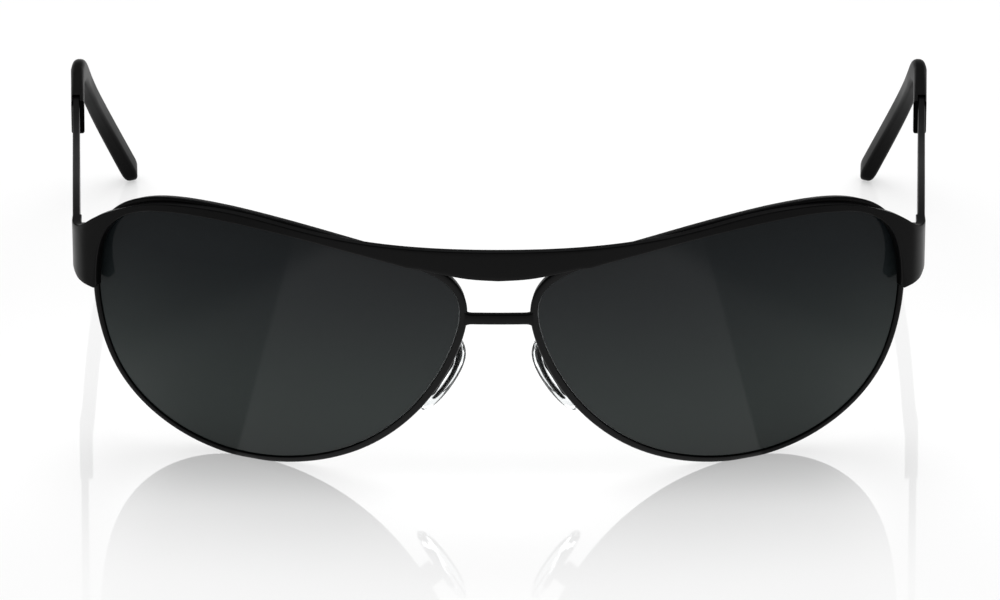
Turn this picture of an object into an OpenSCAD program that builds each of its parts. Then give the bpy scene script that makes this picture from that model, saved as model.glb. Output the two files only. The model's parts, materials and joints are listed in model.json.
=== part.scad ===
// Metal sunglasses with a one piece stamped brow plate, full rims, a lower bridge bar,
// rocking nose pads and folding temples. They stand on their rims and temple tips, as on a table.
// X runs across the front and left means the wearer's left, at plus X. Y runs back along the temples.
// The whole front lies on one ball: its centre is on the middle plane, as high as the brow plate's top.

/* [Front] */
// Radius of the ball that the front lies on
front_r = 112; // [106:1:120]
// How far an end piece reaches past its lens opening
end_reach = 4.2; // [4.05:0.05:4.5]
// How much the rims are flattened where they stand
foot_flat = 0.35; // [0.3:0.01:0.4]

/* [Lenses] */
// Width of a lens opening seen from the front
lens_w = 59.6; // [57:0.2:61]
// Height of a lens opening seen from the front
lens_h = 45.4; // [43:0.2:47]
// Distance between the two lens openings
lens_gap = 12.8; // [12:0.2:15]
// Thickness of a lens
lens_t = 1.8; // [1.4:0.1:2]
// How far a lens face lies behind the front face of its rim
lens_set = 0.3; // [0.2:0.05:0.5]

/* [Rims] */
// Width of a rim's front face
rim_w = 1.2; // [1.1:0.05:1.5]
// Depth of a rim from front to back
rim_d = 2.2; // [2.1:0.05:2.5]
// How much wider a rim is at its top, behind the brow plate
rim_more = 0.9; // [0.6:0.05:1.1]
// How much narrower a rim is at its back
rim_taper = 0.3; // [0.1:0.05:0.35]
// Depth of the groove that holds the lens bevel
groove_d = 0.6; // [0.4:0.05:0.7]
// Width of that groove at its mouth
groove_w = 1.3; // [1:0.05:1.5]
// Gap in the rim at its lock
rim_slit = 0.2; // [0.1:0.05:0.4]

/* [Brow plate] */
// Thickness of the sheet metal
plate_t = 1.5; // [1.3:0.05:1.6]
// How far the plate's top over the nose lies below the top of the lens openings
brow_dip = 1.65; // [1.4:0.05:2]
// Height of the plate over the nose
bridge_h = 4.7; // [4:0.1:5.4]
// Height of an end piece where the temple meets it
end_h = 8.1; // [7.6:0.1:8.6]
// How far the top of an end piece lies below the top of the lens openings
end_dip = 7.3; // [6.8:0.1:7.8]
// Outer radius of the bend at an end piece
bend_r = 6; // [5.5:0.1:6.5]
// Straight stretch behind the bend
end_land = 1.9; // [1.7:0.1:2.2]
// How much of the rim shows between the plate and the lens
rim_show = 0.25; // [0.1:0.05:0.4]

/* [Lower bridge] */
// Height of the lower bridge bar
bar_h = 1.8; // [1.4:0.1:2.2]
// Depth of the bar from front to back
bar_d = 1.2; // [0.9:0.1:1.4]
// Height of the bar's middle above the table
bar_z = 32.3; // [31.5:0.1:33]

/* [Temples] */
// Outward splay of an open temple in degrees
splay = 3.2; // [2.4:0.1:4]
// Thickness of the temple blade
blade_t = 1.2; // [1:0.05:1.3]
// Height of the blade where its tip sleeve starts
blade_end_h = 3.7; // [3.2:0.1:3.9]
// Height of the temple's middle where the tip sleeve starts
sleeve_z = 33.6; // [32:0.2:35]
// Distance from the hinge to the start of the tip sleeve
sleeve_start = 57; // [52:0.5:60]
// Distance from the hinge to the start of the drop behind the ear
ear_start = 81.5; // [76:0.5:84]
// How far the drop runs on from there
drop_l = 32; // [30:0.5:36]
// How far the end of the drop bends in towards the head
drop_in = 9.5; // [6:0.1:10]
// Height of the core inside the tip
core_h = 2; // [1.8:0.1:2.2]

/* [Tips] */
// Thickness of the tip sleeve at its front end
sleeve_t = 2.25; // [2.15:0.05:2.5]
// Thickness of the tip sleeve at its rounded end
sleeve_end_t = 2.9; // [2.4:0.1:3.2]
// Height of the tip sleeve at its front end
sleeve_h = 4.5; // [4.4:0.1:4.9]
// Height of the tip sleeve near its rounded end
sleeve_end_h = 3.7; // [3.4:0.1:4.4]
// How far the sleeve's middle lies inward of the blade's
sleeve_shift = 0.25; // [0.1:0.01:0.27]
// Length of the slot that shows the blade
slot_l = 7; // [6:0.5:10]
// How much further back the sleeve starts at its top than at its bottom
sleeve_rake = 4; // [1:0.5:5]

/* [Hinges] */
// Outer radius of a hinge knuckle
knuckle_r = 1.3; // [1.2:0.05:1.35]
// Height of the middle knuckle
knuckle_h = 2; // [1.8:0.1:2.4]
// Height of the upper and of the lower knuckle
outer_knuckle_h = 1.5; // [1.3:0.1:1.7]
// How far the hinge's middle lies below the middle of the end piece
hinge_dip = 0.5; // [0.3:0.1:0.7]
// Radius of the hinge screw
hinge_screw_r = 0.7; // [0.6:0.05:0.75]
// Radius of the hinge screw's head
hinge_head_r = 1.1; // [1:0.05:1.2]
// Thickness of the hinge screw's head
hinge_head_h = 0.5; // [0.4:0.05:0.6]
// Length of the leaf along the temple
leaf_l = 6; // [5:0.25:8]
// Thickness of the leaf on the temple
leaf_t = 0.9; // [0.7:0.05:1]
// Length of the leaf inside the end piece
front_leaf_l = 2.8; // [2.6:0.1:3]

/* [Rim locks] */
// Width of a lock block across the rim
lock_w = 1.9; // [1.8:0.05:2]
// Depth of a lock block behind the rim
lock_d = 2.2; // [2.1:0.05:2.4]
// Height of each of the two blocks
lock_h = 2.2; // [1.8:0.1:2.6]
// Radius of the lock screw
lock_screw_r = 0.55; // [0.5:0.05:0.6]
// Radius of the lock screw's head
lock_head_r = 0.9; // [0.8:0.05:0.95]
// Thickness of the lock screw's head
lock_head_h = 0.5; // [0.4:0.05:0.6]

/* [Nose pads] */
// Distance of a pad screw from the middle plane
pad_x = 11.2; // [10.9:0.1:12]
// Height of a pad screw above the table
pad_z = 18.4; // [17.5:0.1:19.5]
// Distance of a pad screw behind the front
pad_back = 8.5; // [8:0.1:10]
// Length of a pad
pad_l = 14; // [13:0.25:15]
// Width of a pad
pad_w = 7.4; // [6.8:0.1:8]
// Thickness of a pad
pad_t = 2.4; // [2.1:0.1:2.7]
// Lean of a pad towards the nose in degrees
pad_lean = 31; // [28:1:34]
// Turn of a pad's face towards the wearer in degrees
pad_turn = 24; // [20:1:28]
// Distance from the pad screw to the middle of the plate inside the pad
lug_l = 2.15; // [2:0.05:2.4]
// Radius of the rounded lug that the screw runs through
lug_r = 0.85; // [0.8:0.05:0.9]
// Thickness of the plate inside the pad
core_t = 0.5; // [0.4:0.05:0.6]
// Outer size of a pad box along the pad
box_l = 3; // [2.6:0.1:3.2]
// Outer size of a pad box along its screw
box_w = 3; // [2.8:0.1:3.4]
// Depth of a pad box
box_d = 2.2; // [2.1:0.1:2.6]
// Wall of a pad box
box_wall = 0.6; // [0.5:0.05:0.65]
// Radius of a pad screw
pad_screw_r = 0.45; // [0.4:0.05:0.5]
// Radius of a pad screw's head
pad_head_r = 0.8; // [0.7:0.05:0.9]
// Thickness of a pad screw's head
pad_head_h = 0.4; // [0.3:0.05:0.5]

/* [Pad arms] */
// Radius of a pad arm's wire
arm_r = 0.55; // [0.5:0.01:0.58]
// How far the wire runs straight back from the rim
arm_back = 2.5; // [2:0.1:3]
// How far the wire runs straight on to the pad box
arm_on = 2.4; // [2:0.1:3]
// How far the wire bows outward on its way
arm_bow = 2; // [1.5:0.1:2.5]

/* [Fits] */
// Gap between brazed or screwed pieces
seat_gap = 0.05; // [0.03:0.01:0.07]
// Radial running clearance round a hinge or pad screw
run_gap = 0.05; // [0.03:0.01:0.08]
// Gap between the faces of pieces that turn past each other
side_gap = 0.1; // [0.06:0.01:0.15]
// Gap between an end piece and the open temple
butt_gap = 0.32; // [0.29:0.01:0.4]

/* [Hidden] */

$fn = 48;
black = [0.08, 0.08, 0.085];
dark = [0.16, 0.16, 0.17];
steel = [0.6, 0.6, 0.62];
smoke = [0.17, 0.19, 0.18];
clear = [0.86, 0.89, 0.9];
// Length added to a cut so that it runs clear through
through = 1;
// Short overlap where stretches of one sheet run into each other
join = 0.05;

function unit(v) = v / norm(v);
function mix(a, b, t) = a + (b - a) * t;
function eased(t) = t * t * (3 - 2 * t);
function total(list, i = 0) = i == len(list) ? 0 * list[0] : list[i] + total(list, i + 1);
function middle(list) = total(list) / len(list);

// Point of a cubic spline piece, between the second and the third of four pulls
function pulled(a, b, c, d, t) = (pow(1 - t, 3) * a + (3 * pow(t, 3) - 6 * t * t + 4) * b
    + (1 + 3 * t + 3 * t * t - 3 * pow(t, 3)) * c + pow(t, 3) * d) / 6;
function closed_curve(p, steps) = let(m = len(p)) [for (i = [0:m - 1], k = [0:steps - 1])
    pulled(p[i], p[(i + 1) % m], p[(i + 2) % m], p[(i + 3) % m], k / steps)];
// Open curve that starts and ends at its first and last pulls
function open_curve(p, steps) = let(m = len(p), q = concat([2 * p[0] - p[1]], p, [2 * p[m - 1] - p[m - 2]]))
    concat([for (i = [0:m - 2], k = [0:steps - 1]) pulled(q[i], q[i + 1], q[i + 2], q[i + 3], k / steps)],
        [p[m - 1]]);
// Direction of travel at a point of a path
function heading(path, i) = unit(path[min(i + 1, len(path) - 1)] - path[max(i - 1, 0)]);

// Skin over rings of equal counts, each ring ordered the same way round, with fanned ends
module skin(rings, loop = false) {
    n = len(rings[0]);
    m = len(rings);
    spans = loop ? m : m - 1;
    points = concat([for (r = rings) each r], [middle(rings[0]), middle(rings[m - 1])]);
    sides = [for (i = [0:spans - 1], j = [0:n - 1]) let(k = (j + 1) % n, u = i * n, v = ((i + 1) % m) * n)
        each [[u + j, u + k, v + k], [u + j, v + k, v + j]]];
    ends = loop ? [] : [for (j = [0:n - 1]) let(k = (j + 1) % n, v = (m - 1) * n)
        each [[m * n, k, j], [m * n + 1, v + j, v + k]]];
    polyhedron(loop ? [for (r = rings) each r] : points, concat(sides, ends), convexity = 8);
}

// Front: the lens outline as pulls of a smooth closed curve, in shares of the lens size from its middle
lens_pulls = [[0.497, -0.011], [0.504, 0.22], [0.473, 0.401], [0.352, 0.493], [0.168, 0.504],
    [-0.05, 0.476], [-0.258, 0.421], [-0.433, 0.37], [-0.518, 0.267], [-0.487, 0.064],
    [-0.395, -0.18], [-0.244, -0.387], [-0.052, -0.501], [0.159, -0.52], [0.34, -0.417],
    [0.453, -0.24]];
lens_steps = 4;
lens_shape = closed_curve(lens_pulls, lens_steps);
lens_x = (lens_gap + lens_w) / 2;
lens_z = rim_w - foot_flat - lens_h * min([for (p = lens_shape) p[1]]);
lens_top = lens_z + lens_h / 2;
brow_top = lens_top - brow_dip;
front_z = brow_top;
half_w = lens_gap / 2 + lens_w + end_reach;

// A point of the front elevation on the ball, and the direction that looks out of the ball there
function on_front(p) = [p[0], -sqrt(pow(front_r, 2) - pow(p[0], 2) - pow(p[1] - front_z, 2)), p[1]];
function look_out(q) = (q - [0, 0, front_z]) / front_r;
lens_outline = [for (p = lens_shape) [lens_x + p[0] * lens_w, lens_z + p[1] * lens_h]];
lens_count = len(lens_outline);
lens_middle = [lens_x, lens_z];

// Frame at a point of the lens outline: place, direction away from the lens, out of the front, and along it
function outline_frame(i) = let(m = lens_count, p = on_front(lens_outline[i % m]),
    a = on_front(lens_outline[(i + m - 1) % m]), b = on_front(lens_outline[(i + 1) % m]),
    n = look_out(p), t = unit(b - a)) [p, cross(t, n), n, t];
// Keeps a point above the table, which leaves the flats that the sunglasses stand on
function stood(v) = [v[0], v[1], max(v[2], 0)];
// Extra width of the rim where it runs along its top, less from the lens middle towards the nose
more_middle = 0.85;
more_growth = 1.2;
function rim_extra(f) = rim_more * pow(max(f[1][2], 0), 4)
    * min(1, more_middle + more_growth * (f[0][0] - lens_x) / lens_w);
// Ring across the rim: each profile point is a distance away from the lens and one out of the front
function rim_ring(i, along = 0) = let(f = outline_frame(i))
    [for (q = rim_profile(rim_w + rim_extra(f))) stood(f[0] + q[0] * f[1] + q[1] * f[2] + along * f[3])];
// The same outline moved out in the front elevation
function moved_outline(off) = [for (i = [0:lens_count - 1])
    let(a = lens_outline[(i + lens_count - 1) % lens_count], b = lens_outline[(i + 1) % lens_count],
        t = unit(b - a)) lens_outline[i] + off * [t[1], -t[0]]];

// Rim: a wire with rounded outer corners and a groove for the lens, slit at its lock
groove_at = -rim_d / 2;
rim_round = 0.35;
rim_soft = rim_round / 4;
function rim_profile(w) = let(b = w - rim_taper)
    [[0, groove_at + groove_w / 2], [groove_d, groove_at], [0, groove_at - groove_w / 2], [0, -rim_d],
        [b - rim_round, -rim_d], [b - rim_soft, rim_soft - rim_d], [b, rim_round - rim_d],
        [w, -rim_round], [w - rim_soft, -rim_soft], [w - rim_round, 0], [0, 0]];
module eyewire() {
    color(black) skin(concat([rim_ring(0, rim_slit / 2)], [for (i = [1:lens_count - 1]) rim_ring(i)],
        [rim_ring(0, -rim_slit / 2)]));
}

// Lens: its two faces are parts of balls round the same centre, and its bevel runs in the rim's groove
lens_front = -lens_set;
lens_back = lens_front - lens_t;
lens_shares = [0.28, 0.55, 0.8, 1];
bevel_w = groove_w - 2 * seat_gap;
bevel_d = groove_d - 2 * seat_gap;
function face_ring(share, lift) = [for (i = [0:lens_count - 1])
    let(p = on_front(lens_middle + share * (lens_outline[i] - lens_middle)))
        p + lift * look_out(p) - seat_gap * share * outline_frame(i)[1]];
function edge_ring(out, lift) = [for (i = [0:lens_count - 1]) let(f = outline_frame(i))
    f[0] + out * f[1] + lift * f[2]];
module lens() {
    color(smoke) skin(concat(
        [for (s = lens_shares) face_ring(s, lens_front)],
        [edge_ring(-seat_gap, groove_at + bevel_w / 2), edge_ring(bevel_d, groove_at),
            edge_ring(-seat_gap, groove_at - bevel_w / 2)],
        [for (i = [len(lens_shares) - 1:-1:0]) face_ring(lens_shares[i], lens_back)]));
}

// Brow plate: an upright sheet on the front's curve, bent back at both ends and cut to its elevation
plate_in = front_r + seat_gap;
plate_out = plate_in + plate_t;
bend_a = asin((half_w - bend_r) / (plate_out - bend_r));
bend_x = (plate_out - bend_r) * sin(bend_a);
bend_y = -(plate_out - bend_r) * cos(bend_a);
sheet_h = lens_top + bridge_h;
module sector(a, b, r) {
    mid = (a + b) / 2;
    linear_extrude(height = sheet_h)
        polygon([[0, 0], r * [sin(a), -cos(a)], 1.5 * r * [sin(mid), -cos(mid)], r * [sin(b), -cos(b)]]);
}
module tube(outer, inner) {
    difference() {
        cylinder(r = outer, h = sheet_h, $fn = 96);
        translate([0, 0, -through]) cylinder(r = inner, h = sheet_h + 2 * through, $fn = 96);
    }
}
module plan_sheet() {
    intersection() {
        tube(plate_out, plate_in);
        sector(-bend_a - join, bend_a + join, 2 * front_r);
    }
    for (side = [0, 1]) mirror([side, 0, 0]) translate([bend_x, bend_y, 0]) {
        intersection() {
            tube(bend_r, bend_r - plate_t);
            sector(bend_a, 90, 3 * bend_r);
        }
        translate([bend_r - plate_t, -join, 0]) cube([plate_t, end_land + join, sheet_h]);
    }
}

// Elevation of one half: the top edge as pulls, first as shares of the half width, then from its end
brow_rise = [[0, 0], [0.114, 0], [0.271, 0.27], [0.427, 1.32], [0.584, 3.43], [0.712, 3.42], [0.812, 2.47],
    [0.883, 0.12]];
end_rise = [[-4.7, 2.9], [-2.2, 0.7], [0.4, 0.2]];
low_rise = [[0.2, 0.9], [0, 0.5], [-0.35, -0.1], [-0.9, -0.8], [-1.9, -1.2], [-3.3, -1.5], [-5.8, -1.9]];
nose_rise = [[13, 1.8], [8, 0.8], [5, 0.2], [0, 0]];
end_top = lens_top - end_dip;
end_low = end_top - end_h;
end_mid = end_top - end_h / 2;
top_edge = open_curve(concat([for (q = brow_rise) [half_w * q[0], brow_top + q[1]]],
    [for (q = end_rise) [half_w + q[0], end_top + q[1]]]), 3);
low_edge = [for (q = low_rise) [half_w + q[0], end_low + q[1]]];
nose_edge = [for (q = nose_rise) [q[0], brow_top - bridge_h + q[1]]];
module brow_plate() {
    color(black) intersection() {
        plan_sheet();
        rotate([90, 0, 0]) linear_extrude(height = 1.2 * front_r) for (side = [0, 1]) mirror([side, 0, 0])
            difference() {
                polygon(concat(top_edge, low_edge, [lens_middle], nose_edge));
                polygon(moved_outline(rim_show));
            }
    }
}

// Lower bridge: a curved bar that ends at the noseward sides of the rims, measured near its own height
bar_half = min([for (i = [0:lens_count - 1], v = rim_ring(i)) if (abs(v[2] - bar_z) < bar_h) v[0]]) - seat_gap;
bar_in = front_r - (rim_d + bar_d) / 2;
bar_edge = 0.15;
bar_section = [[0, bar_edge], [bar_edge, 0], [bar_d - bar_edge, 0], [bar_d, bar_edge], [bar_d, bar_h - bar_edge],
    [bar_d - bar_edge, bar_h], [bar_edge, bar_h], [0, bar_h - bar_edge]];
module lower_bridge() {
    color(black) intersection() {
        rotate_extrude($fn = 96) translate([bar_in, bar_z - bar_h / 2]) polygon(bar_section);
        translate([-bar_half, -front_r, 0]) cube([2 * bar_half, front_r / 2, front_z]);
    }
}

// Head with a slot: the neck below it crosses the seat gap and overlaps the shank
slot_w = 0.3;
module screw_head(r, h) {
    difference() {
        cylinder(r = r, h = h);
        translate([-r - through, -slot_w / 2, h / 2]) cube([2 * (r + through), slot_w, h]);
    }
    translate([0, 0, -2 * seat_gap]) cylinder(r = r / 2, h = 2 * seat_gap + h / 4);
}

// Rim lock: two blocks behind the rim, one on each side of its slit, drawn together by a screw
lock_at = on_front(lens_outline[0]);
lock_turn = asin(lock_at[0] / norm([lock_at[0], lock_at[1]]));
lock_tilt = asin((front_z - lock_at[2]) / front_r);
lock_far = rim_d + seat_gap;
lock_mid = lock_far + lock_d / 2;
lock_half = lock_h + rim_slit / 2;
module at_lock() {
    translate(lock_at) rotate([lock_tilt, 0, lock_turn]) translate([(rim_w - rim_taper) / 2, 0, 0]) children();
}
module rim_lock() {
    color(black) at_lock() difference() {
        for (low = [-lock_half, rim_slit / 2]) translate([-lock_w / 2, lock_far, low]) cube([lock_w, lock_d, lock_h]);
        translate([0, lock_mid, -lock_half - through])
            cylinder(r = lock_screw_r + seat_gap, h = 2 * (lock_half + through));
    }
}
module rim_lock_screw() {
    color(steel) at_lock() translate([0, lock_mid, 0]) {
        translate([0, 0, -lock_half]) cylinder(r = lock_screw_r, h = 2 * lock_half);
        translate([0, 0, lock_half + seat_gap]) screw_head(lock_head_r, lock_head_h);
    }
}

// Hinge: the front leaf fills the inside of the bend and holds the upper and the lower knuckle
hinge_x = half_w - plate_t - side_gap - knuckle_r;
hinge_y = bend_y + end_land;
hinge_z = end_mid - hinge_dip;
knuckle_step = knuckle_h / 2 + side_gap;
barrel_top = knuckle_step + outer_knuckle_h;
hinge_bore_r = hinge_screw_r + run_gap;
module barrel(low, high, r) {
    translate([0, 0, low]) cylinder(r = r, h = high - low);
}
module hinge_front() {
    leaf_w = 2 * knuckle_r + side_gap;
    color(dark) translate([hinge_x, hinge_y, hinge_z]) difference() {
        union() {
            intersection() {
                translate([bend_x - hinge_x, -end_land, 0])
                    barrel(-barrel_top, barrel_top, bend_r - plate_t - seat_gap);
                translate([-knuckle_r, -front_leaf_l, -barrel_top])
                    cube([leaf_w, front_leaf_l - end_land, 2 * barrel_top]);
            }
            translate([-knuckle_r, -end_land - join, -barrel_top])
                cube([leaf_w - seat_gap, end_land + join, 2 * barrel_top]);
            barrel(-barrel_top, barrel_top, knuckle_r);
        }
        barrel(-barrel_top - through, barrel_top + through, hinge_bore_r);
        barrel(-knuckle_step, knuckle_step, knuckle_r + side_gap);
        translate([-2 * knuckle_r, 0, -knuckle_step]) cube([4 * knuckle_r, 2 * knuckle_r, 2 * knuckle_step]);
    }
}
module hinge_screw() {
    color(steel) translate([hinge_x, hinge_y, hinge_z]) {
        barrel(-barrel_top, barrel_top, hinge_screw_r);
        translate([0, 0, barrel_top + seat_gap]) screw_head(hinge_head_r, hinge_head_h);
    }
}
// Things on an open temple: zero at the hinge axis on the table, along the splayed temple
module on_temple() {
    translate([hinge_x, hinge_y, 0]) rotate([0, 0, -splay]) children();
}
blade_in = knuckle_r + side_gap + plate_t - blade_t;
leaf_out = blade_in - seat_gap;
module hinge_temple() {
    color(dark) on_temple() translate([0, 0, hinge_z]) difference() {
        union() {
            barrel(-knuckle_h / 2, knuckle_h / 2, knuckle_r);
            translate([leaf_out - leaf_t, butt_gap, -knuckle_h / 2]) cube([leaf_t, leaf_l, knuckle_h]);
        }
        barrel(-knuckle_h, knuckle_h, hinge_bore_r);
    }
}

// Temple line beside the hinge, as distance out, distance back and height: straight, then the drop
// behind the ear as pulls in shares of its bend inward, its run and its height
blade_mid = blade_in + blade_t / 2;
blade_rings = 5;
drop_shape = [[0, -0.1, 1], [0.04, 0.04, 1], [0.09, 0.19, 0.9], [0.19, 0.44, 0.71], [0.46, 0.75, 0.42], [1, 1, 0.01]];
drop_line = open_curve([for (q = drop_shape)
    [blade_mid - q[0] * drop_in, ear_start + q[1] * drop_l, q[2] * sleeve_z]], 4);
blade_line = [for (k = [0:blade_rings]) let(t = k / blade_rings)
    [blade_mid, mix(butt_gap, sleeve_start, t), mix(end_mid, sleeve_z, eased(t))]];
slot_end = sleeve_start + slot_l;
line = concat(blade_line, [[blade_mid, slot_end - 1, sleeve_z], [blade_mid, slot_end, sleeve_z]], drop_line);
line_last = len(line) - 1;
sleeve_first = blade_rings;
core_first = blade_rings + 2;
core_last = line_last - 3;
// Directions across a section of the temple: up its height, and outward through its thickness
function line_up(i) = let(d = heading(line, i)) unit([0, -d[2], d[1]]);
function line_side(i) = cross(heading(line, i), line_up(i));
function blade_height(i) = i >= core_first ? core_h
    : mix(end_h, blade_end_h, eased(min(1, (line[i][1] - butt_gap) / (sleeve_start - butt_gap))));

// Section with bevelled edges, and one that stands off by a gap
blade_bevel = 0.12;
function flat_ring(i, grow = 0, on = 0) = let(x = blade_t / 2 + grow, z = blade_height(i) / 2 + grow, b = blade_bevel)
    [for (q = [[x - b, -z], [x, b - z], [x, z - b], [x - b, z], [b - x, z], [-x, z - b], [-x, b - z], [b - x, -z]])
        line[i] + on * heading(line, i) + q[0] * line_side(i) + q[1] * line_up(i)];
module temple() {
    color(black) on_temple() skin([for (i = [0:core_last]) flat_ring(i)]);
}

// Tip sleeve: a moulded tube over the core, nearly square in front and rounder behind, with a slot on top
tip_fade = [1, 0.96, 0.75];
function tip_share(i) = i <= line_last - len(tip_fade) ? 1 : tip_fade[i - line_last + len(tip_fade) - 1];
tip_sides = 16;
front_square = 0.35;
end_square = 0.7;
function spread(v, power) = sign(v) * pow(abs(v), power);
function round_ring(i) = let(e = eased((i - sleeve_first) / (line_last - sleeve_first)), g = tip_share(i),
    x = g * mix(sleeve_t, sleeve_end_t, e * e) / 2, z = g * mix(sleeve_h, sleeve_end_h, min(1, 2 * e)) / 2,
    power = mix(front_square, end_square, min(1, 2 * e)), rake = i == sleeve_first ? sleeve_rake / 2 : 0)
    [for (k = [0:tip_sides - 1]) let(a = 360 * (k + 0.5) / tip_sides, v = spread(sin(a), power))
        stood(line[i] + (x * spread(cos(a), power) - sleeve_shift) * line_side(i) + z * v * line_up(i)
            + rake * (1 + v) * heading(line, i))];
tip_rings = [for (i = [sleeve_first:line_last]) round_ring(i)];
module tip() {
    color(black) on_temple() difference() {
        skin(tip_rings);
        skin(concat([for (i = [sleeve_first - 1:core_last]) flat_ring(i, seat_gap)],
            [flat_ring(core_last, seat_gap, seat_gap)]));
        translate([blade_in - seat_gap, sleeve_start - through, sleeve_z])
            cube([blade_t + 2 * seat_gap, slot_l + through, sleeve_h]);
    }
}

// Nose pads: zero on the pad screw, first axis away from the nose, second back along the screw, third up the pad
pad_at = on_front([pad_x, pad_z]) + [0, pad_back, 0];
pad_out = [cos(pad_turn) * cos(pad_lean), -sin(pad_turn), cos(pad_turn) * sin(pad_lean)];
module at_pad() {
    translate(pad_at) rotate([0, -pad_lean, 0]) rotate([0, 0, -pad_turn]) children();
}
box_slack = 0.2;
box_open = lug_r + box_slack;
box_in_w = box_w - 2 * box_wall;
lug_w = box_in_w - 2 * side_gap;
pad_bore_r = pad_screw_r + run_gap;
module pad_bore() {
    rotate([90, 0, 0]) cylinder(r = pad_bore_r, h = box_w + 2 * through, center = true);
}
module pad_box() {
    color(black) at_pad() difference() {
        translate([-box_open, -box_w / 2, -box_l / 2]) cube([box_d, box_w, box_l]);
        translate([-box_open - through, -box_in_w / 2, -box_l / 2 - through])
            cube([2 * box_open + through, box_in_w, box_l + 2 * through]);
        pad_bore();
    }
}
module pad_screw() {
    color(steel) at_pad() rotate([-90, 0, 0]) {
        translate([0, 0, -box_w / 2]) cylinder(r = pad_screw_r, h = box_w);
        translate([0, 0, box_w / 2 + seat_gap]) screw_head(pad_head_r, pad_head_h);
    }
}
// Flat plate with round ends inside the pad, and the lug that stands on it
core_share_l = 0.62;
core_share_w = 0.5;
module core_blank(grow) {
    w = core_share_w * pad_w + 2 * grow;
    l = core_share_l * pad_l + 2 * grow;
    translate([-lug_l, 0, 0]) rotate([0, 90, 0]) linear_extrude(height = core_t + 2 * grow, center = true) {
        square([l - w, w], center = true);
        for (end = [-1, 1]) translate([end * (l - w) / 2, 0]) circle(d = w);
    }
}
module pad_core() {
    color(steel) at_pad() difference() {
        union() {
            rotate([90, 0, 0]) cylinder(r = lug_r, h = lug_w, center = true);
            translate([-lug_l, -lug_w / 2, -lug_r]) cube([lug_l, lug_w, 2 * lug_r]);
            core_blank(0);
        }
        pad_bore();
    }
}
// Half outline of a pad as pulls in shares of its size, and its rings as share, height and hollow in shares
pad_pulls = [[0, 1], [0.75, 0.93], [1, 0.45], [0.93, -0.35], [0.6, -0.95], [0, -1.08]];
pad_half = open_curve(pad_pulls, 3);
pad_outline = concat(pad_half, [for (i = [len(pad_half) - 2:-1:1]) [-pad_half[i][0], pad_half[i][1]]]);
pad_levels = [[0.45, -0.5, 0.2], [0.8, -0.42, 0.15], [0.96, -0.2, 0.08], [1, 0.05, 0.04],
    [0.85, 0.33, 0.12], [0.5, 0.4, 0.15]];
function pad_ring(level) = [for (p = pad_outline)
    let(y = level[0] * p[0] * pad_w / 2, z = level[0] * p[1] * pad_l / 2)
        [-lug_l + pad_t * (level[1] - level[2] * (1 - pow(2 * z / pad_l, 2))), y, z]];
module pad() {
    color(clear) at_pad() difference() {
        skin([for (level = pad_levels) pad_ring(level)]);
        core_blank(seat_gap);
        translate([-lug_l, -lug_w / 2 - seat_gap, -lug_r - seat_gap])
            cube([lug_l + pad_t, lug_w + 2 * seat_gap, 2 * (lug_r + seat_gap)]);
    }
}

// Pad arm: a round wire from the back of the rim round to the back of the pad box
arm_index = 32;
arm_root = outline_frame(arm_index);
arm_start = arm_root[0] + rim_w / 2 * arm_root[1] - (rim_d + seat_gap) * arm_root[2];
arm_end = pad_at + (box_d - box_open + seat_gap) * pad_out;
arm_path = open_curve([arm_start, arm_start - arm_back * arm_root[2],
    arm_start - 2 * arm_back * arm_root[2] + [arm_bow, 0, 0.5],
    arm_end + 1.5 * arm_on * pad_out + [0, arm_bow, arm_bow], arm_end + arm_on * pad_out, arm_end], 4);
// Directions across a path, carried along it without twisting
function carried(path, side, i = 0) = i == len(path) ? []
    : let(d = heading(path, i), s = unit(side - (side * d) * d)) concat([s], carried(path, s, i + 1));
arm_sides = 12;
module pad_arm() {
    sides = carried(arm_path, [1, 0, 0]);
    color(black) skin([for (i = [0:len(arm_path) - 1]) let(s = sides[i], u = cross(s, heading(arm_path, i)))
        [for (k = [0:arm_sides - 1]) let(a = 360 * k / arm_sides) arm_path[i] + arm_r * (cos(a) * s + sin(a) * u)]]);
}

// Everything moves along Y so that zero is under the middle of the whole
tip_reach = [for (ring = tip_rings, v = ring) v[1] * cos(splay) - v[0] * sin(splay)];
back_y = hinge_y + max(tip_reach);
shift_y = (plate_out - back_y) / 2;
module left() {
    translate([0, shift_y, 0]) children();
}
module right() {
    mirror([1, 0, 0]) left() children();
}
module both() {
    left() children();
    right() children();
}

left() brow_plate();
left() eyewire();  // eyewire_left
right() eyewire();  // eyewire_right
left() lower_bridge();
left() lens();  // lens_left
right() lens();  // lens_right
left() rim_lock();  // rim_lock_left
right() rim_lock();  // rim_lock_right
both() rim_lock_screw();  // rim_lock_screws
left() pad_arm();  // pad_arm_left
right() pad_arm();  // pad_arm_right
left() pad_box();  // pad_box_left
right() pad_box();  // pad_box_right
both() pad_screw();  // pad_screws
left() hinge_front();  // hinge_front_left
right() hinge_front();  // hinge_front_right
both() hinge_screw();  // hinge_screws
left() temple();  // temple_left
left() hinge_temple();  // hinge_temple_left
left() tip();  // tip_left
right() temple();  // temple_right
right() hinge_temple();  // hinge_temple_right
right() tip();  // tip_right
left() pad_core();  // pad_core_left
left() pad();  // pad_left
right() pad_core();  // pad_core_right
right() pad();  // pad_right
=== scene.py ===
"""Looks of a pair of metal sunglasses that stand open on a pale floor.

Rims, lenses and brow plate share one lens outline that lies on one ball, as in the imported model.
Lengths are millimetres in the classes and metres in the finished meshes. Left is the wearer's left, at plus X.
"""
import json
import logging
import math
from dataclasses import dataclass, field
from enum import Enum
from functools import cache, partial, reduce

import bmesh
import bpy
import numpy as np
from mathutils import Euler, Matrix, Vector


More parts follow.
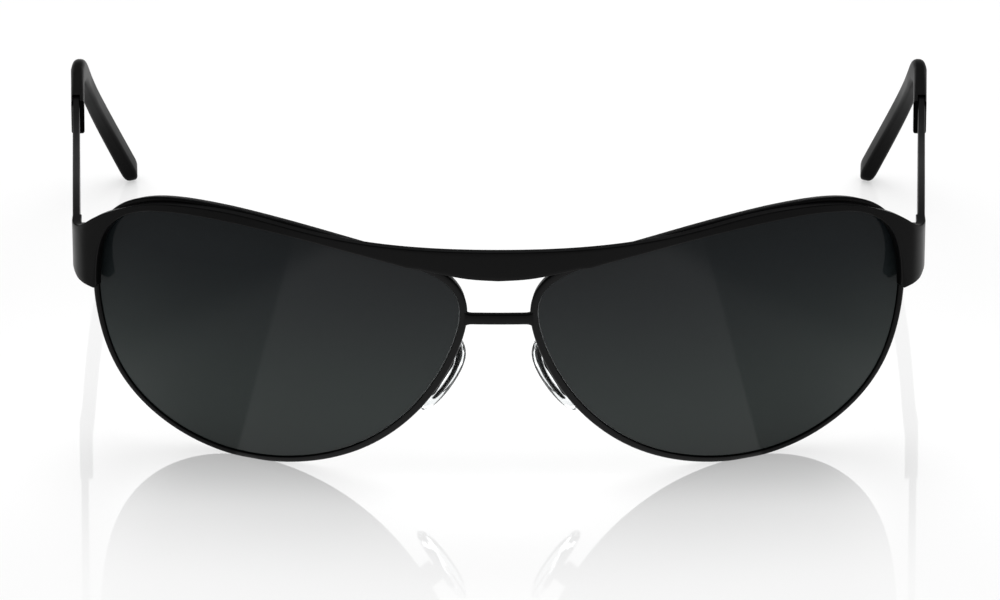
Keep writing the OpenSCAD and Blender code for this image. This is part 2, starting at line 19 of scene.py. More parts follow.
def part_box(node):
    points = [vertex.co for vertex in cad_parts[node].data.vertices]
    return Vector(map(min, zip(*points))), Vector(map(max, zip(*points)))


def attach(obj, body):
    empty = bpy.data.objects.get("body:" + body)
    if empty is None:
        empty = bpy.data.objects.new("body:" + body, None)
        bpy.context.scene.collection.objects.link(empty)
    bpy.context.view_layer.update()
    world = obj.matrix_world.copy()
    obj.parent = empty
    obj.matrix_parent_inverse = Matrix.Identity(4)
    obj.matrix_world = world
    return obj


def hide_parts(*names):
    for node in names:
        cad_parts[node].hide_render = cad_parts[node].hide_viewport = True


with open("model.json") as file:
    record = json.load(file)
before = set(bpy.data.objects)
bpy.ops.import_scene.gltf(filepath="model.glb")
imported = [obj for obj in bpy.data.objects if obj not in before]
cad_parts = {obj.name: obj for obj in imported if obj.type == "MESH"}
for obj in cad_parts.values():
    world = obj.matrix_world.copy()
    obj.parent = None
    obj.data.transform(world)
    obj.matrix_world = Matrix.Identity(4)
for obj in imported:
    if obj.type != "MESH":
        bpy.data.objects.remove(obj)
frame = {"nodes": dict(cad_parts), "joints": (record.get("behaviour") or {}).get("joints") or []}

LOG = logging.getLogger("sunglasses")
MM = 0.001
Array, Material, Object = np.ndarray, bpy.types.Material, bpy.types.Object
Tree, Node, Socket = bpy.types.NodeTree, bpy.types.Node, bpy.types.NodeSocket
Pair, Triple = tuple[float, float], tuple[float, float, float]
Loop = list[Pair]
Rings = list[list[Triple]] | Array
Term = Socket | float
Zone = tuple[str, float, float, float, float]


class Side(Enum):
    """Which of a mirrored pair a piece is."""

    LEFT = 1
    RIGHT = -1

    @property
    def word(self) -> str:
        """The side's word in node, body and piece names."""
        return self.name.lower()


class Body(Enum):
    """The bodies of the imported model."""

    FRONT = "front"
    TEMPLE = "temple_arm"
    PAD = "nose_pad"

    def of(self, side: Side) -> str:
        """The name of one of a pair of bodies."""
        return f"{self.value}_{side.word}"


# Curves and skins

def unit(v: Array) -> Array:
    """Vectors of length one along the last axis."""
    return v / np.linalg.norm(v, axis=-1, keepdims=True)


def eased(t: float | Array) -> float | Array:
    """A share that starts and ends slowly."""
    return t * t * (3 - 2 * t)


def mix(a: float, b: float, t: float) -> float:
    """The value a share t of the way from a to b."""
    return a + (b - a) * t


def pulled(p: Array, t: float) -> Array:
    """Point a share t along the cubic spline piece between the second and the third of four pulls."""
    return ((1 - t) ** 3 * p[0] + (3 * t ** 3 - 6 * t * t + 4) * p[1]
            + (1 + 3 * t + 3 * t * t - 3 * t ** 3) * p[2] + t ** 3 * p[3]) / 6


def closed_curve(pulls: Array, steps: int) -> Array:
    """Smooth closed curve through the pull of its points, with that many steps a pull."""
    m = len(pulls)
    return np.array([pulled(pulls[[(i + k) % m for k in range(4)]], s / steps)
                     for i in range(m) for s in range(steps)])


def open_curve(pulls: Array, steps: int) -> Array:
    """Smooth open curve that starts and ends at its first and last pulls."""
    q = np.vstack([2 * pulls[0] - pulls[1], pulls, 2 * pulls[-1] - pulls[-2]])
    return np.array([pulled(q[i:i + 4], s / steps) for i in range(len(pulls) - 1) for s in range(steps)]
                    + [pulls[-1]])


def height_at(edge: Array, x: float) -> float:
    """Height of an edge, given by its points, at a place across."""
    return float(np.interp(x, edge[:, 0], edge[:, 1]))


def arc(centre: Pair, radius: float, start: float, end: float, steps: int) -> Loop:
    """Points of an arc between two angles in degrees."""
    turns = [math.radians(mix(start, end, k / steps)) for k in range(steps + 1)]
    return [(centre[0] + radius * math.cos(a), centre[1] + radius * math.sin(a)) for a in turns]


def rounded(low: float, high: float, half: float, c: float, steps: int) -> Loop:
    """Box from low to high and half up and down, with corners of radius c."""
    middles = ((high - c, half - c), (low + c, half - c), (low + c, c - half), (high - c, c - half))
    return [p for k, middle in enumerate(middles) for p in arc(middle, c, 90 * k, 90 * k + 90, steps)]


def mesh_object(name: str, rings: Rings, material: Material, sharp: float, side: Side = Side.LEFT) -> Object:
    """Makes one closed skin over rings of equal counts, at the origin, with its place in its mesh.

    Args:
        name: piece name.
        rings: rings of points in millimetres, drawn for the left side; a fan closes each end.
        material: finish of the piece.
        sharp: edges that turn by more degrees than this stay crisp.
        side: RIGHT mirrors the rings.

    Returns:
        The object.
    """
    rings = np.array(rings)
    m, n, _ = rings.shape
    faces = [(i * n + j, i * n + (j + 1) % n, (i + 1) * n + (j + 1) % n, (i + 1) * n + j)
             for i in range(m - 1) for j in range(n)]
    for hub, ring in ((m * n, 0), (m * n + 1, m - 1)):
        faces += [(hub, ring * n + j, ring * n + (j + 1) % n) for j in range(n)]
    points = np.vstack([rings.reshape(-1, 3), rings[0].mean(0), rings[-1].mean(0)])
    bm = bmesh.new()
    verts = [bm.verts.new(p) for p in points * MM * np.array([side.value, 1, 1])]
    for face in faces:
        bm.faces.new([verts[i] for i in face])
    bmesh.ops.remove_doubles(bm, verts=bm.verts, dist=1e-7)
    bmesh.ops.recalc_face_normals(bm, faces=bm.faces)
    return finished(name, bm, material, sharp)


def linked(name: str, data: bpy.types.ID) -> Object:
    """New object in the scene."""
    obj = bpy.data.objects.new(name, data)
    bpy.context.scene.collection.objects.link(obj)
    return obj


def shaded(mesh: bpy.types.Mesh, sharp: float) -> None:
    """Shades a mesh smooth between edges that turn by more than that many degrees."""
    mesh.polygons.foreach_set("use_smooth", [True] * len(mesh.polygons))
    mesh.set_sharp_from_angle(angle=math.radians(sharp))


def finished(name: str, bm: bmesh.types.BMesh, material: Material, sharp: float) -> Object:
    """Turns an edited mesh into a shaded object with its material."""
    mesh = bpy.data.meshes.new(name)
    bm.to_mesh(mesh)
    bm.free()
    shaded(mesh, sharp)
    mesh.materials.append(material)
    return linked(name, mesh)


def evaluated(obj: Object) -> bpy.types.Mesh:
    """New mesh of an object with its modifiers applied."""
    bpy.context.view_layer.update()
    return bpy.data.meshes.new_from_object(obj.evaluated_get(bpy.context.evaluated_depsgraph_get()))


def dress(obj: Object, node: str, body: str = Body.FRONT.value) -> None:
    """Puts a piece on its body in place of the node that it stands for, and logs it."""
    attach(obj, body)
    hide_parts(node)
    LOG.info("%s: %d faces on %s", obj.name, len(obj.data.polygons), body)


def carved(obj: Object, cutter: Object, sharp: float) -> Object:
    """Cuts one closed object out of another, removes the cutter and keeps the result as a plain mesh."""
    cut = obj.modifiers.new("cut", "BOOLEAN")
    cut.operation, cut.solver, cut.object = "DIFFERENCE", "EXACT", cutter
    mesh = evaluated(obj)
    obj.modifiers.clear()
    obj.data = mesh
    shaded(mesh, sharp)
    bpy.data.objects.remove(cutter)
    return obj


def softened(node: str, name: str, material: Material, width: float,
             body: str = Body.FRONT.value) -> None:
    """Shows a CAD node by a copy with its doubles merged and its sharp edges rounded.

    Args:
        node: CAD node to copy and stand for.
        name: piece name.
        material: finish of the copy.
        width: width of the rounding in millimetres.
        body: body that it is on.
    """
    bm = bmesh.new()
    bm.from_mesh(frame["nodes"][node].data)
    bmesh.ops.remove_doubles(bm, verts=bm.verts, dist=2e-6)
    bmesh.ops.dissolve_limit(bm, angle_limit=math.radians(0.5), verts=bm.verts, edges=bm.edges)
    crisp = [e for e in bm.edges if len(e.link_faces) == 2 and e.calc_face_angle() > math.radians(40)]
    bmesh.ops.bevel(bm, geom=crisp, offset=width * MM, offset_type="OFFSET", segments=2, profile=0.5,
                    affect="EDGES", clamp_overlap=True)
    dress(finished(name, bm, material, 35), node, body)


# Node trees

def feed(tree: Tree, node: Node, inputs: dict[str | int, object]) -> None:
    """Links the sockets among some values into a node's inputs, and sets the plain ones."""
    for key, value in inputs.items():
        if isinstance(value, Socket):
            tree.links.new(value, node.inputs[key])
        else:
            node.inputs[key].default_value = value


def add(tree: Tree, kind: str, inputs: dict[str | int, object] | None = None, **settings: object) -> Node:
    """Adds a node with its settings and its inputs."""
    node = tree.nodes.new(kind)
    for key, value in settings.items():
        setattr(node, key, value)
    feed(tree, node, inputs or {})
    return node


def maths(tree: Tree, operation: str, *terms: Term, clamp: bool = False) -> Socket:
    """One arithmetic step on sockets or plain numbers."""
    return add(tree, "ShaderNodeMath", dict(enumerate(terms)), operation=operation, use_clamp=clamp).outputs[0]


def ramp(tree: Tree, source: Socket, span: Pair, levels: tuple[Term, Term], scale: float = 1.0,
         kind: str = "LINEAR") -> Socket:
    """Level that goes from the first to the second while the source crosses a span times a scale."""
    return add(tree, "ShaderNodeMapRange", {
        "Value": source, "From Min": span[0] * scale, "From Max": span[1] * scale, "To Min": levels[0],
        "To Max": levels[1]}, interpolation_type=kind).outputs["Result"]


def noise(tree: Tree, place: Socket, scale: Term, detail: float, roughness: float = 0.5,
          distortion: float = 0.0) -> Socket:
    """Noise over a place."""
    return add(tree, "ShaderNodeTexNoise", {"Vector": place, "Scale": scale, "Detail": detail, "Roughness": roughness,
                                            "Distortion": distortion}).outputs["Fac"]


def mixed(tree: Tree, share: Socket, first: object, second: object) -> Socket:
    """Colour between two others."""
    return add(tree, "ShaderNodeMix", {"Factor": share, "A": first, "B": second}, data_type="RGBA").outputs["Result"]


def tree_with(name: str, kind: str, ins: dict[str, str], outs: dict[str, str]) -> Tree:
    """New node group without nodes, given the kinds of its inputs and outputs by name."""
    tree = bpy.data.node_groups.new(name, kind)
    for sockets, way in ((ins, "INPUT"), (outs, "OUTPUT")):
        for key, socket in sockets.items():
            tree.interface.new_socket(name=key, in_out=way, socket_type="NodeSocket" + socket)
    return tree


@cache
def grain_group() -> Tree:
    """Shader group for a sprayed or moulded surface: fine grain, and broad soft patches from handling."""
    tree = tree_with("surface_grain", "ShaderNodeTree", {
        "Place": "Vector", "Grain": "Float", "Patch": "Float", "Low": "Float", "High": "Float", "Dark": "Color",
        "Light": "Color"}, {"Colour": "Color", "Roughness": "Float", "Height": "Float"})
    given = add(tree, "NodeGroupInput").outputs
    fine = noise(tree, given["Place"], given["Grain"], 2.0, 0.6)
    broad = noise(tree, given["Place"], given["Patch"], 3.0, 0.55, 0.4)
    add(tree, "NodeGroupOutput", {"Colour": mixed(tree, fine, given["Dark"], given["Light"]), "Height": fine,
                                  "Roughness": ramp(tree, broad, (0.3, 0.7), (given["Low"], given["High"]))})
    return tree


def new_material(name: str) -> tuple[Material, Tree, Node, bpy.types.bpy_prop_collection]:
    """Material with only a shader, its output and coordinates, as itself, its tree, the shader and the coordinates."""
    material = bpy.data.materials.new(name)
    material.use_nodes = True
    tree = material.node_tree
    tree.nodes.clear()
    shader = add(tree, "ShaderNodeBsdfPrincipled")
    add(tree, "ShaderNodeOutputMaterial", {"Surface": shader.outputs["BSDF"]})
    return material, tree, shader, add(tree, "ShaderNodeTexCoord").outputs


def bumped(tree: Tree, height: Socket, strength: float, depth: float) -> Socket:
    """Normal of a bump that deep in millimetres."""
    return add(tree, "ShaderNodeBump", {"Strength": strength, "Distance": depth * MM,
                                        "Height": height}).outputs["Normal"]


@dataclass(frozen=True)
class GrainedFinish:
    """A sprayed, moulded or machined surface with grain and soft patches of gloss."""

    name: str
    dark: Triple
    light: Triple
    rough_low: float
    rough_high: float
    specular: float = 0.5
    metallic: float = 0.0
    grain: float = 4000.0
    patch: float = 120.0
    bump: float = 0.01
    bump_strength: float = 0.6

    def material(self) -> Material:
        """Builds the material."""
        material, tree, shader, place = new_material(self.name)
        grain = add(tree, "ShaderNodeGroup", {
            "Place": place["Object"], "Grain": self.grain, "Patch": self.patch, "Low": self.rough_low,
            "High": self.rough_high, "Dark": (*self.dark, 1), "Light": (*self.light, 1)},
            node_tree=grain_group()).outputs
        feed(tree, shader, {
            "Specular IOR Level": self.specular, "Metallic": self.metallic, "Base Color": grain["Colour"],
            "Roughness": grain["Roughness"], "Normal": bumped(tree, grain["Height"], self.bump_strength, self.bump)})
        return material


@dataclass(frozen=True)
class TintedLens:
    """Polished smoke lens that is darker at its top, with a painted highlight on the edge break on its noseward side.
    """

    name: str
    low_z: float
    high_z: float
    low_tint: Triple = (0.083, 0.102, 0.098)
    high_tint: Triple = (0.017, 0.022, 0.025)
    # Painted highlight on the polished edge break: its colour, how far across it reaches, and where it fades to its
    # rest level under the brow.
    painted_highlight_tint: Triple = (0.86, 0.9, 0.9)
    highlight_reach: Pair = (26.0, 34.0)
    highlight_fade: Pair = (33.0, 37.5)
    highlight_rest: float = 0.15
    edge_lean: float = 45.0
    specular: float = 0.16
    clearness: float = 0.05
    cloud: float = 30.0
    sway: float = 0.12
    film: float = 900.0
    roughness: Pair = (0.06, 0.1)
    ball: Triple = (0.0, 41.5109, 44.8917)
    radius: float = 112.0

    def painted_highlight_mask(self, tree: Tree, place: Socket, normal: Socket, x: Socket, z: Socket) -> Socket:
        """Mask of a painted highlight on the edge break, which leans half away from the ball: full on the noseward
        side, and faint up under the brow, where the brow shades it.
        """
        spoke = add(tree, "ShaderNodeVectorMath", {0: place, 1: [c * MM for c in self.ball]}, operation="SUBTRACT")
        facing = add(tree, "ShaderNodeVectorMath", {0: spoke.outputs["Vector"], 1: normal}, operation="DOT_PRODUCT")
        slope = self.radius * MM * math.cos(math.radians(self.edge_lean))
        leaning = maths(tree, "COMPARE", facing.outputs["Value"], slope, slope / 4)
        inward = ramp(tree, maths(tree, "ABSOLUTE", x), self.highlight_reach, (1.0, 0.0), MM)
        below = ramp(tree, z, self.highlight_fade, (1.0, self.highlight_rest), MM)
        return maths(tree, "MULTIPLY", maths(tree, "MULTIPLY", leaning, inward), below)

    def material(self) -> Material:
        """Builds the material."""
        material, tree, shader, place = new_material(self.name)
        at = place["Object"]
        split = add(tree, "ShaderNodeSeparateXYZ", {0: at}).outputs
        sway = maths(tree, "MULTIPLY_ADD", noise(tree, at, self.cloud, 1.0), self.sway, -self.sway / 2)
        up = ramp(tree, split["Z"], (self.low_z, self.high_z), (0.0, 1.0), MM, "SMOOTHSTEP")
        tint = mixed(tree, maths(tree, "ADD", up, sway, clamp=True), (*self.low_tint, 1), (*self.high_tint, 1))
        # edge is the painted highlight's mask; Base Color mixes the highlight's colour in there.
        edge = self.painted_highlight_mask(tree, at, place["Normal"], split["X"], split["Z"])
        feed(tree, shader, {
            "Transmission Weight": self.clearness, "IOR": 1.5, "Specular IOR Level": self.specular,
            "Base Color": mixed(tree, edge, tint, (*self.painted_highlight_tint, 1)),
            "Roughness": ramp(tree, noise(tree, at, self.film, 2.0), (0.0, 1.0), self.roughness)})
        return material


@dataclass(frozen=True)
class ClearSilicone:
    """Clear moulded silicone with a faint satin skin."""

    name: str
    tint: Triple = (0.95, 0.975, 0.98)
    grain: float = 700.0
    roughness: Pair = (0.04, 0.12)
    bump: float = 0.02
    bump_strength: float = 0.4

    def material(self) -> Material:
        """Builds the material."""
        material, tree, shader, place = new_material(self.name)
        skin = noise(tree, place["Object"], self.grain, 2.0)
        feed(tree, shader, {
            "Transmission Weight": 1.0, "IOR": 1.41, "Base Color": (*self.tint, 1),
            "Roughness": ramp(tree, skin, (0.0, 1.0), self.roughness),
            "Normal": bumped(tree, skin, self.bump_strength, self.bump)})
        return material


@dataclass
class Finishes:
    """Every finish of the sunglasses, built once."""

    coat: Material = field(default_factory=GrainedFinish(
        "satin_black_coat", (0.0011, 0.0011, 0.0012), (0.0026, 0.0026, 0.0028), 0.26, 0.36, specular=0.15,
        grain=6000, patch=90, bump=0.006).material)
    hinge: Material = field(default_factory=GrainedFinish(
        "hinge_black_coat", (0.0011, 0.0011, 0.0012), (0.003, 0.003, 0.0033), 0.22, 0.32, specular=0.1,
        grain=5000, patch=300, bump=0.008).material)
    steel: Material = field(default_factory=GrainedFinish(
        "blacked_screw_steel", (0.05, 0.05, 0.053), (0.12, 0.12, 0.125), 0.26, 0.4, metallic=1.0,
        grain=9000, patch=800, bump=0.006).material)
    core: Material = field(default_factory=GrainedFinish(
        "stamped_pad_core", (0.0008, 0.0008, 0.0009), (0.002, 0.002, 0.0021), 0.3, 0.42, specular=0.02,
        grain=6000, patch=400, bump=0.006).material)
    tip: Material = field(default_factory=GrainedFinish(
        "moulded_tip_black", (0.0006, 0.0006, 0.0006), (0.0012, 0.0012, 0.0013), 0.3, 0.4, specular=0.06,
        grain=3500, patch=70, bump=0.01).material)
    lens: Material = field(default_factory=TintedLens("smoke_lens", 6.0, 42.0).material)
    clear: Material = field(default_factory=ClearSilicone("clear_silicone").material)


# The front

def hinge_axis() -> list[float]:
    """A place on the left hinge's axis, in metres."""
    return next(j for j in frame["joints"] if j["name"] == "temple_left_fold")["pos_m"]


@dataclass
class FrontShape:
    """The ball that the front lies on, and the lens outline that the pieces share."""

    radius: float = 112.0
    lens_w: float = 59.6
    lens_h: float = 45.4
    lens_gap: float = 12.8
    rim_w: float = 1.2
    foot_flat: float = 0.35
    brow_dip: float = 1.65
    end_reach: float = 4.2
    seat_gap: float = 0.05
    plate_t: float = 1.5
    steps: int = 12
    pulls: tuple[Pair, ...] = (
        (0.497, -0.011), (0.504, 0.22), (0.473, 0.401), (0.352, 0.493), (0.168, 0.504), (-0.05, 0.476),
        (-0.258, 0.421), (-0.433, 0.37), (-0.518, 0.267), (-0.487, 0.064), (-0.395, -0.18), (-0.244, -0.387),
        (-0.052, -0.501), (0.159, -0.52), (0.34, -0.417), (0.453, -0.24))

    def __post_init__(self) -> None:
        """Works out the places that follow from the sizes, and the outline with its directions."""
        self.lens_x = (self.lens_gap + self.lens_w) / 2
        pulls = np.array(self.pulls) * (self.lens_w, self.lens_h)
        self.lens_z = self.rim_w - self.foot_flat - closed_curve(pulls, 4)[:, 1].min()
        self.lens_top = self.lens_z + self.lens_h / 2
        self.ball_z = self.lens_top - self.brow_dip
        self.half_w = self.lens_gap / 2 + self.lens_w + self.end_reach
        self.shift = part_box("brow_plate")[0].y / MM + self.radius + self.seat_gap + self.plate_t
        self.middle = np.array([self.lens_x, self.lens_z])
        self.outline = closed_curve(pulls, self.steps) + self.middle
        self.place = self.on_ball(self.outline)
        self.out = self.look_out(self.place)
        self.along = unit(np.roll(self.place, -1, 0) - np.roll(self.place, 1, 0))
        self.away = np.cross(self.along, self.out)

    def on_ball(self, p: Array) -> Array:
        """Points on the ball for points of the front elevation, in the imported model's frame."""
        x, z = p[..., 0], p[..., 1]
        y = self.shift - np.sqrt(self.radius ** 2 - x ** 2 - (z - self.ball_z) ** 2)
        return np.stack([x, y, z], -1)

    def look_out(self, q: Array) -> Array:
        """Directions out of the ball at points on it."""
        return (q - np.array([0, self.shift, self.ball_z])) / self.radius

    def edge_ring(self, out: float, lift: float) -> Array:
        """The lens outline moved away from the lens by out, and out of the front by lift."""
        return self.place + out * self.away + lift * self.out

    def moved_outline(self, off: float) -> Array:
        """The outline of the elevation moved outward."""
        t = unit(np.roll(self.outline, -1, 0) - np.roll(self.outline, 1, 0))
        return self.outline + off * np.stack([t[:, 1], -t[:, 0]], -1)


@dataclass
class Eyewire:
    """A rim: a wire with rounded outer corners and a groove for the lens, slit at its lock."""

    shape: FrontShape
    depth: float = 2.2
    more: float = 0.9
    more_middle: float = 0.85
    more_growth: float = 1.2
    taper: float = 0.3
    groove_d: float = 0.6
    groove_w: float = 1.3
    slit: float = 0.2
    corner: float = 0.35
    inner_corner: float = 0.1

    def profile(self, width: float) -> Loop:
        """Section of the rim as distances away from the lens and out of the front."""
        back, groove, small = width - self.taper, -self.depth / 2, self.inner_corner
        return [(0, groove + self.groove_w / 2), (self.groove_d, groove), (0, groove - self.groove_w / 2),
                *arc((small, small - self.depth), small, 180, 270, 2),
                *arc((back - self.corner, self.corner - self.depth), self.corner, 270, 360, 5),
                *arc((width - self.corner, -self.corner), self.corner, 0, 90, 5),
                *arc((small, -small), small, 90, 180, 2)]

    def ring(self, i: int, along: float = 0) -> Array:
        """Ring across the rim at a point of the outline, flattened where it stands on the table."""
        s = self.shape
        share = min(1, self.more_middle + self.more_growth * (s.place[i][0] - s.lens_x) / s.lens_w)
        width = s.rim_w + self.more * share * max(s.away[i][2], 0) ** 4
        ring = np.array([s.place[i] + a * s.away[i] + o * s.out[i] for a, o in self.profile(width)])
        ring += along * s.along[i]
        ring[:, 2] = np.maximum(ring[:, 2], 0)
        return ring

    def build(self, finish: Finishes) -> None:
        """Makes both rims."""
        count = len(self.shape.outline)
        rings = [self.ring(0, self.slit / 2), *[self.ring(i) for i in range(1, count)],
                 self.ring(0, -self.slit / 2)]
        for side in Side:
            rim = mesh_object(f"rim_{side.word}", rings, finish.coat, 40, side)
            dress(rim, f"eyewire_{side.word}")


@dataclass
class Lens:
    """A lens with two ball faces, a polished edge break and a bevel that runs in the rim's groove."""

    shape: FrontShape
    groove: Eyewire
    thickness: float = 1.8
    set_back: float = 0.3
    edge_break: float = 0.12
    shares: tuple[float, ...] = (0.04, 0.12, 0.22, 0.32, 0.42, 0.52, 0.62, 0.72, 0.82, 0.91, 0.97)

    def face_ring(self, share: float, lift: float) -> Array:
        """Ring of a lens face, a share of the way from its middle to its edge."""
        s = self.shape
        p = s.on_ball(s.middle + share * (s.outline - s.middle))
        return p + lift * s.look_out(p)

    def build(self, finish: Finishes) -> None:
        """Makes both lenses."""
        s, gap, small = self.shape, self.shape.seat_gap, self.edge_break
        front, back = -self.set_back, -self.set_back - self.thickness
        mid = -self.groove.depth / 2
        half = (self.groove.groove_w - 2 * gap) / 2
        rings = [*[self.face_ring(k, front) for k in self.shares], s.edge_ring(-gap - 1.5 * small, front),
                 s.edge_ring(-gap - small, front),
                 s.edge_ring(-gap, front - small), s.edge_ring(-gap, mid + half),
                 s.edge_ring(self.groove.groove_d - 2 * gap, mid), s.edge_ring(-gap, mid - half),
                 s.edge_ring(-gap - small, back), *[self.face_ring(k, back) for k in reversed(self.shares)]]
        for side in Side:
            lens = mesh_object(f"smoke_lens_{side.word}", rings, finish.lens, 25, side)
            dress(lens, f"lens_{side.word}")


@dataclass
class BrowPlate:
    """The upright sheet that holds both rims, bent back at its ends and cut to the lens outline."""

    shape: FrontShape
    height: float = 5.0
    end_h: float = 8.1
    end_dip: float = 7.3
    bend_r: float = 6.0
    land: float = 1.9
    show: float = 0.25
    edge: float = 0.16
    end_edge: float = 0.7
    brim: float = 0.08
    across: int = 8
    seam: int = 10
    nose_steps: int = 16
    bend_steps: int = 12
    brow_end: float = 57.0
    side_top: float = 10.0
    turn_in: float = 1.2
    soft_zone: tuple[float, ...] = (58, 64, 70.2, 71.5)
    brow_rise: tuple[Pair, ...] = (
        (0, 0), (0.114, 0), (0.271, 0.27), (0.427, 1.32), (0.584, 3.43), (0.712, 3.42), (0.812, 2.47), (0.883, 0.12))
    end_rise: tuple[Pair, ...] = ((-4.7, 3.8), (-2.4, 1.7), (-1.1, 0.45), (0.4, 0.4))
    low_rise: tuple[Pair, ...] = (
        (-5.8, -1.9), (-3.3, -1.5), (-1.9, -1.2), (-0.9, -0.8), (-0.35, -0.1), (0, 0.5), (0.2, 0.9))
    nose_rise: tuple[Pair, ...] = ((0, 0), (5, 0.2), (8, 0.8), (13, 1.8))

    def __post_init__(self) -> None:
        """Works out the bend and the edges of one half."""
        s = self.shape
        self.outer = s.radius + s.seat_gap + s.plate_t
        self.bend_a = math.asin((s.half_w - self.bend_r) / (self.outer - self.bend_r))
        self.bend_x = (self.outer - self.bend_r) * math.sin(self.bend_a)
        self.bend_y = s.shift - (self.outer - self.bend_r) * math.cos(self.bend_a)
        self.arc_end = self.outer * self.bend_a
        self.bend_end = self.arc_end + self.bend_r * (math.pi / 2 - self.bend_a)
        end_top = s.lens_top - self.end_dip
        self.top = open_curve(np.array([(s.half_w * x, s.ball_z + z) for x, z in self.brow_rise]
                                       + [(s.half_w + x, end_top + z) for x, z in self.end_rise]), 12)
        self.low = np.array([(s.half_w + x, end_top - self.end_h + z) for x, z in self.low_rise])
        self.nose = open_curve(np.array([(x, s.ball_z - self.height + z) for x, z in self.nose_rise]), 6)

    def unrolled(self, x: float) -> float:
        """Distance along the sheet from the middle to a place that far across the front."""
        if x <= self.outer * math.sin(self.bend_a):
            return self.outer * math.asin(x / self.outer)
        turn = math.asin(min(1, (x - self.bend_x) / self.bend_r))
        return self.arc_end + self.bend_r * (turn - self.bend_a)

    def plan(self, along: float, depth: float) -> Pair:
        """X and Y of a point that far along the outer face from the middle, negative on the right, and that deep."""
        reach = abs(along)
        sign = 1 if along >= 0 else -1
        if reach <= self.arc_end:
            a, r, cx, cy = reach / self.outer, self.outer, 0.0, self.shape.shift
        else:
            a = min(math.pi / 2, self.bend_a + (reach - self.arc_end) / self.bend_r)
            r, cx, cy = self.bend_r, self.bend_x, self.bend_y
        x, y = cx + (r - depth) * math.sin(a), cy - (r - depth) * math.cos(a)
        return sign * x, y + max(0.0, reach - self.bend_end)

    def stations(self) -> list[tuple[float, float, float, float]]:
        """Pairs of a low and a high point of one half as distances along the sheet and heights."""
        s = self.shape
        top, nose, low = (partial(height_at, edge) for edge in (self.top, self.nose, self.low))
        cut = np.roll(s.moved_outline(self.show)[::-1], self.seam * s.steps + 1, 0)
        crest = int(np.argmax(cut[:, 1]))
        first = next(i for i in range(crest, 0, -1) if cut[i][1] < nose(cut[i][0])) + 1
        last = next(i for i in range(crest, len(cut)) if cut[i][0] > s.lens_x and cut[i][1] < low(cut[i][0]))
        pairs = [(x, nose(x), x, top(x)) for x in np.linspace(0, cut[first][0], self.nose_steps)[:-1]]
        over = [p for p in cut[first:last] if p[0] < self.brow_end and p[1] > s.lens_z + self.side_top]
        pairs += [(p[0], p[1], p[0], top(p[0])) for p in over]
        down = cut[first + len(over):last]
        start, turn = over[-1][0], s.half_w - self.turn_in
        for k, p in enumerate(down):
            x = mix(start, turn, (k + 1) / len(down))
            pairs.append((p[0], p[1], x, top(x)))
        pairs = [(self.unrolled(a), b, self.unrolled(c), d) for a, b, c, d in pairs]
        corner = cut[last][0]
        for k in range(1, self.bend_steps + 1):
            share = math.sin(k / self.bend_steps * math.pi / 2)
            x_low, x_top = mix(corner, s.half_w, share), mix(turn, s.half_w, share)
            pairs.append((self.unrolled(x_low), low(x_low), self.unrolled(x_top), top(x_top)))
        for k in range(1, 4):
            along = self.bend_end + k * self.land / 3
            pairs.append((along, pairs[-1][1], along, pairs[-1][3]))
        return pairs

    def section(self, length: float, along: float) -> list[Pair]:
        """Rounded section as shares of the way up and depths behind the outer face.

        The low outer edge is rounder where the sheet comes down beside the lens.
        """
        e, t, brim = self.edge, self.shape.plate_t, self.edge + self.brim
        low = float(np.interp(abs(along), self.soft_zone, (e, self.end_edge, self.end_edge, e)))
        face = [mix(max(low, e), length - e, k / self.across) for k in range(self.across + 1)]
        turn = lambda *shape: [(x, -y) for x, y in arc(*shape)]
        loop = [*[(w, 0.0) for w in face[:-1]], *turn((length - e, -e), e, 90, 0, 3),
                (length, brim), (length, t - brim), *turn((length - e, e - t), e, 0, -90, 3),
                *[(w, t) for w in face[-2:0:-1]], *turn((e, e - t), e, -90, -180, 3),
                *turn((low, -low), low, 180, 90, 5)[:-1]]
        return [(w / length, d) for w, d in loop]

    def build(self, finish: Finishes) -> None:
        """Makes the plate from its left end to its right end."""
        half = self.stations()
        whole = [(-a, b, -c, d) for a, b, c, d in half[:0:-1]] + half
        rings = []
        for a, b, c, d in whole:
            length = math.hypot(c - a, d - b)
            rings.append([(*self.plan(mix(a, c, w), depth), mix(b, d, w)) for w, depth in self.section(length, a)])
        plate = mesh_object("brow_sheet", rings, finish.coat, 40)
        dress(plate, "brow_plate")


def painted(tree: Tree, geometry: Socket, finish: Socket, out: str) -> None:
    """Ends a geometry tree: instances made real, the finish set, and the result handed out."""
    real = add(tree, "GeometryNodeRealizeInstances", {"Geometry": geometry}).outputs["Geometry"]
    paint = add(tree, "GeometryNodeSetMaterial", {"Geometry": real, "Material": finish}).outputs["Geometry"]
    add(tree, "NodeGroupOutput", {out: paint})


def wire_tree() -> Tree:
    """Geometry nodes for a round wire that follows a curve."""
    tree = tree_with("round_wire", "GeometryNodeTree", {
        "Path": "Geometry", "Radius": "Float", "Sides": "Int", "Finish": "Material"}, {"Wire": "Geometry"})
    given = add(tree, "NodeGroupInput").outputs
    circle = add(tree, "GeometryNodeCurvePrimitiveCircle", {"Radius": given["Radius"], "Resolution": given["Sides"]})
    sweep = add(tree, "GeometryNodeCurveToMesh", {"Curve": given["Path"], "Profile Curve": circle.outputs["Curve"],
                                                  "Fill Caps": True})
    painted(tree, sweep.outputs["Mesh"], given["Finish"], "Wire")
    return tree


